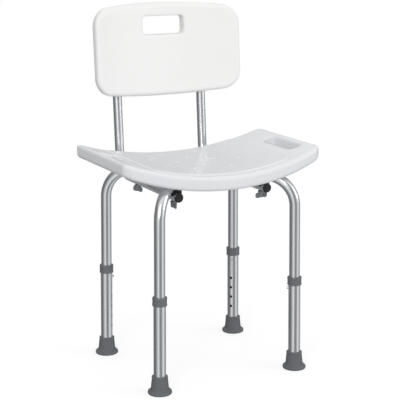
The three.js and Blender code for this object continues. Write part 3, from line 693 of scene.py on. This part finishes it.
def collar_outline():
    bore = LOWER_RADIUS + 0.1 * MM
    grip_low, grip_high = COLLAR_LOW + 3.2 * MM, COLLAR_TOP - 5.5 * MM
    return eased([
        (bore, COLLAR_LOW), (16.6 * MM, COLLAR_LOW, 0.5 * MM), (COLLAR_RADIUS, COLLAR_LOW + 1.4 * MM),
        (COLLAR_RADIUS, grip_low, 0.3 * MM), (COLLAR_RADIUS - 0.5 * MM, grip_low + 0.6 * MM, 0.3 * MM),
        (COLLAR_RADIUS - 0.5 * MM, grip_high, 0.3 * MM), (COLLAR_RADIUS, grip_high + 0.6 * MM, 0.3 * MM),
        (COLLAR_RADIUS, COLLAR_TOP - 1.6 * MM, 1.2 * MM), (16 * MM, COLLAR_TOP, 0.6 * MM),
        (COLLAR_LIP, COLLAR_TOP, 0.4 * MM), (COLLAR_LIP, LOWER_TOP + 0.2 * MM, 0.2 * MM),
        (bore, LOWER_TOP + 0.2 * MM, 0.1 * MM), (bore, COLLAR_LOW),
    ], 0.4 * MM, 4)


def ribbed(collar):
    """Pushes the grip's points out and in round the ring, before the collar goes to its leg."""
    for point in collar.data.vertices:
        radius = math.hypot(point.co.x, point.co.y)
        on_grip = smoothstep(0, 1.5 * MM, point.co.z - COLLAR_LOW - 3.6 * MM)
        on_grip *= smoothstep(0, 1.5 * MM, COLLAR_TOP - 5.6 * MM - point.co.z)
        if radius > 16 * MM and on_grip > 0:
            wave = max(0.0, math.cos(RIBS * math.atan2(point.co.y, point.co.x))) * RIB_DEPTH * on_grip
            point.co.xy *= (radius + wave) / radius
    return collar


for corner, axes in legs.items():
    collar = ribbed(turned(f"collar_ring_{corner}", collar_outline(), sides=RIBS * RIB_SAMPLES, looped=True))
    collar.data.transform(axes)
    finished(collar, grey_plastic, f"lower_leg_{corner}", "grey_plastic", f"collar_{corner}")
print("collar ribs:", RIBS)

# %% [markdown]
# ## Rubber feet
# The foot is a cup with a wide flange, like a crutch tip, so that it grips a wet floor. It is one
# turned outline. The sole has three round grooves; they face the floor, but they show when the stool
# is laid down. The outline is cut off level with the floor, since the leg leans and the sole doesn't.

# %% Feet
FLANGE_RADIUS = 28 * MM
SOLE_GROOVES = (9 * MM, 15 * MM, 21 * MM)


def foot_outline():
    """From the middle of the sole, out round the flange, up the cup and down inside it."""
    bore = LOWER_RADIUS + 0.1 * MM
    sole = [(0, 0.0)]
    for at in SOLE_GROOVES:
        sole += [(at - 1.4 * MM, 0.0, 0.1 * MM), (at - 0.8 * MM, 1.0 * MM, 0.2 * MM),
                 (at + 0.8 * MM, 1.0 * MM, 0.2 * MM), (at + 1.4 * MM, 0.0, 0.1 * MM)]
    return eased(sole + [
        (26.6 * MM, 0.0, 1.2 * MM), (FLANGE_RADIUS, 2.2 * MM, 1.5 * MM), (FLANGE_RADIUS, 5.6 * MM, 2.2 * MM),
        (25.8 * MM, 8.2 * MM, 1.6 * MM), (22.2 * MM, 9.0 * MM, 2.0 * MM), (20.9 * MM, 13.0 * MM, 3.0 * MM),
        (18.4 * MM, 37.0 * MM, 1.0 * MM), (18.9 * MM, 38.4 * MM, 0.6 * MM), (18.7 * MM, 41.2 * MM, 0.9 * MM),
        (17.4 * MM, 42.0 * MM, 0.7 * MM), (bore, 42.0 * MM, 0.5 * MM), (bore, 8.0 * MM, 0.3 * MM),
        (0, 8.0 * MM),
    ], 1.0 * MM, 5)


def level_sole(foot, axes):
    """Shears the foot along its leaning leg, so that its sole stays flat on the floor."""
    lean = axes.col[2].to_3d() / axes.col[2].z
    for point in foot.data.vertices:
        point.co = axes.translation + Vector((point.co.x, point.co.y, 0)) + lean * point.co.z
    return foot


for corner, axes in legs.items():
    foot = level_sole(turned(f"rubber_foot_{corner}", foot_outline(), sides=72), axes)
    finished(foot, grey_rubber, f"lower_leg_{corner}", "grey_rubber", f"foot_{corner}")
print("foot flange:", round(2 * FLANGE_RADIUS / MM), "mm across")

# %% [markdown]
# ## Snap buttons
# Each button is a domed steel pin on a bent leaf spring inside the upper tube. Only the dome shows.
# The spring stays as the frame has it, since it is never seen from outside.

# %% Snap buttons
BUTTON_RADIUS, BUTTON_TIP = 3.2 * MM, 18.3 * MM

button_outline = eased([
    (0, 8.7 * MM), (4.4 * MM, 8.7 * MM), (4.4 * MM, 9.7 * MM), (BUTTON_RADIUS, 9.9 * MM),
    (BUTTON_RADIUS, BUTTON_TIP - 0.4 * MM, 2.2 * MM), (0.6 * MM, BUTTON_TIP), (0, BUTTON_TIP),
], 0.3 * MM, 6)
for corner, axes in legs.items():
    button = turned(f"spring_button_{corner}", button_outline, button_axes(axes, BUTTON_UP), 40)
    finished(button, steel, f"button_{corner}", "steel", f"snap_button_{corner}")
print("buttons stand out", round((BUTTON_TIP - LOWER_RADIUS) / MM, 1), "mm")

# %% [markdown]
# ## Back tubes and their plugs
# Each side of the backrest stands on one thinner tube that runs back under the seat, turns up behind
# it and ends in a socket of the backrest. Its open front end has a black plug with a shallow domed
# head, whose edge is cut into facets so that it can be pulled out again.

# %% Back tubes
BACK_RADIUS, BACK_BEND = 11.1 * MM, 60 * MM
BACK_LEAN = 0.0715
BACK_TOP = 792 * MM
SCREW_HEIGHTS = {"lower": 700 * MM, "upper": 760 * MM}
SCREW_ROOM, SCREW_DRILL = 2.6 * MM, 30 * MM
SIDES = {"left": -1, "right": 1}

plug_low, plug_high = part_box("end_plug_right")
back_tube_x = (plug_low.x + plug_high.x) / 2
back_tube_z = (plug_low.z + plug_high.z) / 2
back_front_y = plug_low.y + 3.7 * MM
back_foot_y = middle.y + 199.7 * MM
back_heading = Vector((0, BACK_LEAN, 1)).normalized()


def on_upright(x, z):
    """The point of an upright's axis at some height."""
    return Vector((x, back_foot_y + BACK_LEAN * (z - back_tube_z), z))


def rearward(at):
    """Z runs to the rear from a point."""
    return Matrix.Translation(at) @ Matrix.Rotation(-math.pi / 2, 4, "X")


for side, sign in SIDES.items():
    x = sign * back_tube_x
    corners = [(x, back_front_y, back_tube_z), on_upright(x, back_tube_z), on_upright(x, BACK_TOP)]
    route = bent(corners, BACK_BEND)
    back_tube = tube(f"back_{side}_tube", route, (1, 0, 0), BACK_RADIUS, BACK_RADIUS - TUBE_WALL)
    low, high = back_tube_z - DRILL_REACH, back_tube_z + DRILL_REACH
    drills = [upright_drill(crossing_point(c), STUD_ROOM, low, high) for c in CORNERS if side in c]
    drills += [rod(SCREW_ROOM, 0, SCREW_DRILL, rearward(on_upright(x, z)), 24)
               for z in SCREW_HEIGHTS.values()]
    finished(combine(back_tube, drills), aluminium, FRAME_BODY, "aluminium", f"back_tube_{side}")
print("back tubes at x = +/-", round(back_tube_x, 4))

# %% End plugs
PLUG_FACETS, PLUG_FACET_DEPTH = 12, 0.35 * MM


def plug_outline():
    stem = BACK_RADIUS - TUBE_WALL - 0.2 * MM
    return eased([(0, -3.4 * MM), (8.2 * MM, -3.1 * MM, 2 * MM), (11.2 * MM, -1.8 * MM, 1.2 * MM),
                  (11.4 * MM, 0.2 * MM, 0.3 * MM), (stem, 0.2 * MM, 0.1 * MM), (stem, 12.5 * MM, 0.6 * MM),
                  (stem - 1.0 * MM, 14 * MM, 0.4 * MM), (0, 14 * MM)], 0.4 * MM, 6)


for side, sign in SIDES.items():
    plug = turned(f"plug_{side}", plug_outline(), sides=PLUG_FACETS * 6)
    for point in plug.data.vertices:
        radius = math.hypot(point.co.x, point.co.y)
        if radius > 8 * MM and point.co.z < 0.25 * MM:
            turn = math.atan2(point.co.y, point.co.x) * PLUG_FACETS / 2
            point.co.xy *= 1 - PLUG_FACET_DEPTH * abs(math.sin(turn)) / radius
    plug.data.transform(rearward((sign * back_tube_x, back_front_y - 0.3 * MM, back_tube_z)))
    finished(plug, black_plastic, FRAME_BODY, "black_plastic", f"end_plug_{side}")
print("plug facets:", PLUG_FACETS)

# %% [markdown]
# ## Saddles and wing knobs
# Where a back tube crosses under a leg frame, a black saddle block keeps the two round tubes from
# rocking on each other, and a wing knob on a steel stud clamps them to the seat from below. Both are
# small mouldings with soft edges, so each is put together from plain bodies, wrapped in an even fine
# skin and relaxed. Bevels on every edge would take more work and fail where round bodies meet.

# %% Saddles
SADDLE_RADIUS, SADDLE_FACE, SADDLE_ROOM = 18.5 * MM, 17 * MM, 0.5 * MM
BAR_START, BAR_HALF = 380 * MM, 60 * MM


def frame_bar(corner, room):
    """A solid bar that follows the leg frame of a corner, to cut its bed with."""
    first = legs[corner]
    opposite = legs[CORNERS[(CORNERS.index(corner) + 2) % 4]]
    return tube("tool", frame_route(first, opposite, BAR_START), frame_side(first), UPPER_RADIUS + room, 0)


def back_bar(at, room):
    """A solid bar along a back tube under one crossing."""
    rear = Vector((0, 1, 0))
    under = Vector((at.x, at.y, back_tube_z))
    route = [(under - rear * BAR_HALF, rear), (under + rear * BAR_HALF, rear)]
    return tube("tool", route, (1, 0, 0), BACK_RADIUS + room, 0)


for corner in CORNERS:
    at = crossing_point(corner)
    low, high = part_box(f"tube_saddle_{corner}")
    outline = eased([(0, low.z), (SADDLE_FACE, low.z), (SADDLE_RADIUS, low.z + 2.5 * MM),
                     (SADDLE_RADIUS, high.z - 1.5 * MM), (SADDLE_FACE, high.z), (0, high.z)], 1 * MM)
    saddle = turned(f"saddle_{corner}", outline, Matrix.Translation((at.x, at.y, 0)))
    combine(saddle, [frame_bar(corner, SADDLE_ROOM), back_bar(at, SADDLE_ROOM),
                     upright_drill(at, STUD_ROOM, low.z - 10 * MM, high.z + 10 * MM)])
    finished(moulded_skin(saddle, 0.7 * MM, 2), black_plastic, FRAME_BODY, "black_plastic",
             f"tube_saddle_{corner}")
print("saddles:", len(CORNERS))

# %% Wing knobs
KNOB_TOP = back_tube_z - BACK_RADIUS - 0.6 * MM
KNOB_TURNS = {"front_left": 1.49, "front_right": 0.06, "rear_right": 1.3, "rear_left": 1.88}
WING_HALF = [(0, -6.0), (4.6, -6.2), (7.4, -4.4), (10.6, -4.0), (13.9, -4.8), (15.9, -8.0), (15.9, -12.0),
             (14.4, -15.6), (11.2, -16.8), (7.0, -16.2), (3.4, -15.0), (0, -14.6)]
WING_SECTION = ((0.0, -2.4), (0.9, -2.4), (1.0, -1.6), (1.0, 1.6), (0.9, 2.4), (0.0, 2.4))
WING_MIDDLE, WING_TAPER = -10.4, 0.25 / 16


def wing_plate():
    """The pair of wings as one upright plate, thinner at its tips."""
    around = WING_HALF + [(-x, z) for x, z in reversed(WING_HALF[1:-1])]
    rings = []
    for share, thick in WING_SECTION:
        ring = [(x * share, thick * (1 - WING_TAPER * abs(x)), WING_MIDDLE + (z - WING_MIDDLE) * share)
                for x, z in around]
        rings.append(np.array(ring) * MM)
    return skin("wings", rings)


def wing_knob(name, turn, at):
    outline = eased([(0, -15 * MM), (5.6 * MM, -15 * MM), (6.8 * MM, -13.4 * MM), (7.6 * MM, -2.4 * MM),
                     (8.4 * MM, -1.8 * MM), (8.4 * MM, 0), (0, 0)], 0.8 * MM)
    hub = turned(name, outline, sides=48)
    combine(hub, [wing_plate()], "UNION")
    combine(hub, [rod(STUD_ROOM, -10 * MM, 1 * MM)])
    moulded_skin(hub, 0.5 * MM, 3)
    hub.data.transform(Matrix.Translation(at) @ Matrix.Rotation(turn, 4, "Z"))
    return hub


for corner, turn in KNOB_TURNS.items():
    at = crossing_point(corner)
    knob = wing_knob(f"clamp_knob_{corner}", turn, Vector((at.x, at.y, KNOB_TOP)))
    finished(knob, knob_plastic, f"knob_{corner}", "grey_plastic", f"wing_knob_{corner}", 60)
print("wing knobs:", len(KNOB_TURNS), "faces each:", len(knob.data.polygons))

# %% [markdown]
# ## The shape of the seat
# The seat is a shallow saddle: flat along its depth, and rising towards both ends by a power of the
# distance from the middle. Its long edges bow outward. The shell is built as plan rings that are
# lifted onto that curve. The ends carry a hand slot each, the middle has a slightly raised sitting
# panel with drain holes, and the underside has channels for the leg frames. The roll of the front edge
# stands a little proud and stops short of the corners.

# %% The saddle curve and a slab on it
SEAT_MIDDLE_TOP = 494 * MM
SEAT_THICK, SEAT_END_THINNER = 34 * MM, 0.08
SEAT_RISE, SEAT_RISE_POWER = 44.5 * MM, 2.08
SEAT_FRONT_BOW, SEAT_REAR_BOW, SEAT_CORNER = 30 * MM, 14 * MM, 19 * MM
ROLL_END, ROLL_FADE, ROLL_PROUD = 242 * MM, 3 * MM, 2.4 * MM
seat_low, seat_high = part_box("seat")
seat_half_x = seat_high.x
seat_half_y = (seat_high.y - seat_low.y) / 2
seat_middle_y = (seat_high.y + seat_low.y) / 2


def seat_top(x):
    return SEAT_MIDDLE_TOP + SEAT_RISE * np.abs(np.asarray(x) / seat_half_x) ** SEAT_RISE_POWER


def rounded_plan(half_x, half_y, corner, per_side=60, per_corner=14):
    """Points round a rounded rectangle, anticlockwise, evenly spread."""
    points = []
    for n, (sx, sy) in enumerate(((1, 1), (-1, 1), (-1, -1), (1, -1))):
        angle = math.pi / 2 * (n + np.linspace(0, 1, per_corner))
        arc = np.stack([sx * (half_x - corner) + corner * np.cos(angle),
                        sy * (half_y - corner) + corner * np.sin(angle)], 1)
        points.append(arc)
    outline = []
    for arc, following in zip(points, points[1:] + points[:1]):
        outline.append(arc)
        outline.append(np.linspace(arc[-1], following[0], per_side + 1, endpoint=False)[1:])
    return np.concatenate(outline)


def plan_normals(outline):
    along = np.roll(outline, -1, 0) - np.roll(outline, 1, 0)
    normal = np.stack([along[:, 1], -along[:, 0]], 1)
    return normal / np.linalg.norm(normal, axis=1)[:, None]


def lifted(name, outline, rows, lift):
    """Skins rings that are given as (share of the way out, inset, height); `lift` bends the plan."""
    normal, centre = plan_normals(outline), outline.mean(0)
    rings = []
    for share, inset, height in rows:
        rim = outline - normal * inset
        plan = centre + (rim - centre) * share
        rings.append(np.stack(lift(plan[:, 0], plan[:, 1], np.full(len(plan), height)), 1))
    return skin(name, rings)


def slab(name, outline, thick, round_low, round_top, lift, shares=24):
    """A panel with rounded edges. `lift(x, y, height)` bends it; the height is 0 on top."""
    steps = np.linspace(0, math.pi / 2, 8)
    rows = [(share, round_low, -thick) for share in np.linspace(0, 1, shares, endpoint=False)]
    rows += [(1, round_low * (1 - math.sin(a)), -thick + round_low * (1 - math.cos(a))) for a in steps]
    rows += [(1, round_top * (1 - math.cos(a)), -round_top * (1 - math.sin(a))) for a in steps]
    rows += [(share, round_top, 0) for share in np.linspace(1, 0, shares + 1)[1:]]
    return lifted(name, outline, rows, lift)


def seat_plan():
    outline = rounded_plan(seat_half_x, seat_half_y, SEAT_CORNER)
    front = (seat_half_y - outline[:, 1]) / (2 * seat_half_y)
    bow = SEAT_FRONT_BOW * front - SEAT_REAR_BOW * (1 - front)
    outline[:, 1] += seat_middle_y + bow * (outline[:, 0] / seat_half_x) ** 2
    past_roll = smoothstep(ROLL_END - ROLL_FADE, ROLL_END + ROLL_FADE, np.abs(outline[:, 0]))
    outline[:, 1] += ROLL_PROUD * past_roll * smoothstep(0.8, 0.95, front)
    return outline


def on_seat(x, y, height):
    thinning = 1 - SEAT_END_THINNER * np.abs(x / seat_half_x) ** 4
    return x, y, seat_top(x) + height * thinning


seat = slab("moulded_seat", seat_plan(), SEAT_THICK, 8 * MM, 10 * MM, on_seat)
print("seat", round(2 * seat_half_x, 3), "x", round(2 * seat_half_y, 3), "m")

# %% [markdown]
# ## Slots, drains and channels
# Every opening in a blown panel has a soft funnel edge, because the plastic is drawn round the core
# of the mould. A cutter that flares where it meets the surface cuts hole and funnel in one go. The
# same flare, lifted onto the saddle curve, serves the long hand slots and the round drains.

# %% Flared cutters
def flared(name, outline, thick, flare_top, flare_low, lift, over=4 * MM):
    """A cutter through a panel that widens in a quarter circle where it meets each face."""
    steps = np.linspace(0, math.pi / 2, 7)
    rows = [(0, -flare_low, -thick - over), (1, -flare_low, -thick - over)]
    rows += [(1, -flare_low * (1 - math.sin(a)), -thick + flare_low * (1 - math.cos(a))) for a in steps]
    rows += [(1, -flare_top * (1 - math.cos(a)), -flare_top * (1 - math.sin(a))) for a in steps]
    rows += [(1, -flare_top, over), (0, -flare_top, over)]
    return lifted(name, outline, rows, lift)


HAND_SLOT_X, HAND_SLOT_Y = 220 * MM, middle.y - 14 * MM
HAND_SLOT_HALF, HAND_SLOT_CORNER = (16 * MM, 68 * MM), 15 * MM
DRAIN_RADIUS, DRAIN_PITCH = 4.5 * MM, 47 * MM
DRAIN_ROWS = {-2: (-28, 66), -1: (-75, 19, 113), 0: (-28, 66), 1: (-75, 19, 113), 2: (-28, 66)}


def hand_slot(sign):
    outline = rounded_plan(*HAND_SLOT_HALF, HAND_SLOT_CORNER, 20, 10)
    outline += (sign * HAND_SLOT_X, HAND_SLOT_Y)
    return flared("slot", outline, SEAT_THICK, 5 * MM, 3 * MM, on_seat)


def drain(x, y):
    angle = np.linspace(0, 2 * math.pi, 32, endpoint=False)
    outline = np.stack([x + DRAIN_RADIUS * np.cos(angle), y + DRAIN_RADIUS * np.sin(angle)], 1)
    return flared("drain", outline, SEAT_THICK, 2.2 * MM, 1.5 * MM, on_seat)


drains = [drain(column * DRAIN_PITCH, middle.y + y * MM) for column, ys in DRAIN_ROWS.items() for y in ys]
combine(seat, drains + [hand_slot(-1), hand_slot(1)])
print("drains:", len(drains))

# %% Channels under the seat
CHANNEL_ROOM, CHANNEL_DEEP = 1.3 * MM, 60 * MM
CROSS_POCKET = 50 * MM
BOLT_POCKET, BOLT_POCKET_TOP = 8 * MM, FRAME_TOP + 16.3 * MM
INSERT_POCKET, INSERT_POCKET_TOP = 5.3 * MM, FRAME_TOP + 21.8 * MM


def frame_channel(corner):
    """A round-bottomed channel along a leg frame, open downward."""
    radius = UPPER_RADIUS + CHANNEL_ROOM
    reach = (leg_top(legs[corner]) - middle).to_2d().length + radius * 0.9
    inward = legs[corner].col[0]
    axes = Matrix.Translation((middle.x, middle.y, FRAME_TOP - CHANNEL_DEEP / 2))
    axes @= Matrix.Rotation(math.atan2(inward.y, inward.x), 4, "Z")
    corner_of_trench = Vector((reach, radius, CHANNEL_DEEP / 2))
    trench = block_on(axes, -corner_of_trench, corner_of_trench)
    return frame_bar(corner, CHANNEL_ROOM), trench


for corner, _, _ in FRAMES.values():
    combine(seat, frame_channel(corner))
combine(seat, [upright_drill(middle, CROSS_POCKET, FRAME_TOP - 40 * MM, FRAME_TOP + UPPER_RADIUS + 0.7 * MM),
               upright_drill(middle, BOLT_POCKET, FRAME_TOP, BOLT_POCKET_TOP)])
combine(seat, [upright_drill(crossing_point(c), INSERT_POCKET, FRAME_TOP, INSERT_POCKET_TOP)
               for c in CORNERS])
moulded_skin(seat, 1.8 * MM, 4)
print("seat faces:", len(seat.data.polygons))

# %% [markdown]
# ## The sitting panel
# The middle of the seat stands a couple of millimetres above the rim, so that the sitter feels no edge
# of the hand slots. Adding another body would leave a hard crease. The skinned seat is fine enough to
# raise the panel point by point: each point near the top goes up by a smooth function of how far inside
# the panel's border it is, and a shallow groove round the border gives the line that is seen from afar.

# %% Raise the panel
PANEL_HALF, PANEL_CORNER = 175 * MM, 18 * MM
PANEL_FRONT_MARGIN, PANEL_REAR_MARGIN = 24 * MM, 9 * MM
PANEL_HIGH, PANEL_EDGE = 2.2 * MM, 2.0 * MM
PANEL_DEPTHS = (-SEAT_THICK * 0.6, -SEAT_THICK * 0.2)
GROOVE_DEEP, GROOVE_WIDE = 0.9 * MM, 4 * MM


def inside_panel(x, y):
    """How far inside the panel's border a plan point is, with rounded corners."""
    curve = (x / seat_half_x) ** 2
    from_side = PANEL_HALF - np.abs(x)
    from_front = y - (seat_low.y + PANEL_FRONT_MARGIN + SEAT_FRONT_BOW * curve)
    from_rear = seat_high.y - PANEL_REAR_MARGIN - SEAT_REAR_BOW * curve - y
    from_edge = np.minimum(from_front, from_rear)
    corner = PANEL_CORNER - np.hypot(np.clip(PANEL_CORNER - from_side, 0, None),
                                     np.clip(PANEL_CORNER - from_edge, 0, None))
    both = np.minimum(from_side, from_edge)
    return np.where(both < PANEL_CORNER, corner, both)


def raise_panel(piece):
    count = len(piece.data.vertices)
    points = np.empty(count * 3)
    piece.data.vertices.foreach_get("co", points)
    points = points.reshape(-1, 3)
    inside = inside_panel(points[:, 0], points[:, 1])
    lift = PANEL_HIGH * smoothstep(-PANEL_EDGE, PANEL_EDGE, inside)
    lift -= GROOVE_DEEP * np.exp(-((inside + GROOVE_WIDE) / (GROOVE_WIDE / 2)) ** 2)
    height = points[:, 2] - seat_top(points[:, 0])
    points[:, 2] += lift * smoothstep(*PANEL_DEPTHS, height)
    piece.data.vertices.foreach_set("co", points.ravel())
    piece.data.update()


raise_panel(seat)
finished(seat, seat_plastic, FRAME_BODY, "white_plastic", "seat", 80)
print("panel raised by", round(PANEL_HIGH / MM, 1), "mm")

# %% [markdown]
# ## The backrest
# The backrest is the same kind of blown panel, wrapped forward round the sitter and leaning back with
# the tubes. Behind it stand two sockets that the tubes go up into. It is built flat, as the seat was,
# and bent by one function; the sockets are joined to it before the whole is skinned, so that they
# flow into the panel with soft corners.

# %% The backrest's shape
BACK_HALF_X, BACK_LOW, BACK_HIGH = 194 * MM, 647 * MM, 847 * MM
BACK_ARCH_TOP, BACK_ARCH_LOW = 12 * MM, 14.5 * MM
BACK_CORNER, BACK_THICK = 40 * MM, 31 * MM
BACK_WRAP = 1.08
BACK_SLOT_HALF, BACK_SLOT_Z, BACK_SLOT_CORNER = (56 * MM, 22.5 * MM), 804 * MM, 9 * MM
SOCKET_RADIUS, SOCKET_LOW = 16 * MM, 668 * MM
WEB_HALF, WEB_DEEP = 13 * MM, 35 * MM
back_middle_y = middle.y + 200 * MM
back_middle_z, back_half_z = (BACK_LOW + BACK_HIGH) / 2, (BACK_HIGH - BACK_LOW) / 2


def on_back(x, h, height):
    """The panel's own x and height to the frame; the front face is where the slab's top is."""
    y = back_middle_y + BACK_LEAN * h - BACK_WRAP * x * x - BACK_THICK / 2 - height
    return x, y, back_middle_z + h


def back_plan():
    outline = rounded_plan(BACK_HALF_X, back_half_z, BACK_CORNER)
    x, h = outline.T
    bow, high = 1 - (x / BACK_HALF_X) ** 2, (h + back_half_z) / (2 * back_half_z)
    return np.stack([x, h + BACK_ARCH_TOP * bow * high - BACK_ARCH_LOW * bow * (1 - high)], 1)


def upright_axes(x, z):
    """Z up along the leaning upright, Y to the rear."""
    side = Vector((1, 0, 0))
    axes = Matrix((side, back_heading.cross(side), back_heading)).transposed().to_4x4()
    axes.translation = on_upright(x, z)
    return axes


backrest = slab("moulded_backrest", back_plan(), BACK_THICK, 9 * MM, 12 * MM, on_back)
socket_tall = BACK_TOP + 6 * MM - SOCKET_LOW
sockets, bores = [], []
for sign in SIDES.values():
    axes = upright_axes(sign * back_tube_x, SOCKET_LOW)
    outline = eased([(0, 0), (SOCKET_RADIUS, 0), (SOCKET_RADIUS, socket_tall), (0, socket_tall)], 4 * MM)
    sockets.append(turned("socket", outline, axes))
    sockets.append(block_on(axes, (-WEB_HALF, -WEB_DEEP, 0), (WEB_HALF, 0, socket_tall - 4 * MM)))
    bores.append(rod(BACK_RADIUS + 0.4 * MM, -40 * MM, BACK_TOP - SOCKET_LOW + 1 * MM, axes, 48))
slot_outline = rounded_plan(*BACK_SLOT_HALF, BACK_SLOT_CORNER, 20, 10)
slot_outline += (0, BACK_SLOT_Z - back_middle_z)
hand_hole = flared("slot", slot_outline, BACK_THICK, 5 * MM, 4 * MM, on_back)
combine(backrest, sockets, "UNION")
combine(backrest, [hand_hole, *bores])
moulded_skin(backrest, 1.7 * MM, 4)
finished(backrest, backrest_plastic_painted_lighter, FRAME_BODY, "white_plastic", "backrest", 80)
print("backrest faces:", len(backrest.data.polygons))

# %% [markdown]
# ## Back screws
# Two screws through each socket keep the backrest on its tubes. A pan head with a cross recess is a
# turned outline with two slots cut across it.

# %% Screws
HEAD_FACE = SOCKET_RADIUS + 0.4 * MM
RECESS = (2.6 * MM, 0.5 * MM)

for side, sign in SIDES.items():
    for place, z in SCREW_HEIGHTS.items():
        axes = rearward(on_upright(sign * back_tube_x, z))
        outline = eased([(0, 4 * MM), (2.2 * MM, 4.6 * MM), (2.2 * MM, HEAD_FACE), (4.8 * MM, HEAD_FACE),
                         (4.7 * MM, HEAD_FACE + 1.6 * MM, 1.2 * MM), (0, HEAD_FACE + 2.7 * MM)], 0.2 * MM)
        screw = turned(f"screw_{side}_{place}", outline, axes, 48)
        recess = [block_on(axes, (-a, -b, HEAD_FACE + 1.1 * MM), (a, b, HEAD_FACE + 4 * MM))
                  for a, b in (RECESS, reversed(RECESS))]
        finished(combine(screw, recess), steel, FRAME_BODY, "steel", f"back_screw_{side}_{place}")
print("screws:", len(SIDES) * len(SCREW_HEIGHTS))

# %% [markdown]
# ## What stays as the frame has it
# Washers, springs, studs, inserts and the crossing bolt are hidden or nearly so. Their frame shapes
# are right, so they only get the metal that they are made of.

# %% Finish the hidden fittings
HIDDEN = {"foot_washer": steel, "leaf_spring": steel, "knob_stud": steel, "cross": steel,
          "seat_insert": brass}

kept = 0
for name, node in frame["nodes"].items():
    for start, finish in HIDDEN.items():
        if name.startswith(start) and not node.hide_render:
            node.data.materials.clear()
            node.data.materials.append(finish)
            kept += 1
print("fittings kept from the frame:", kept)
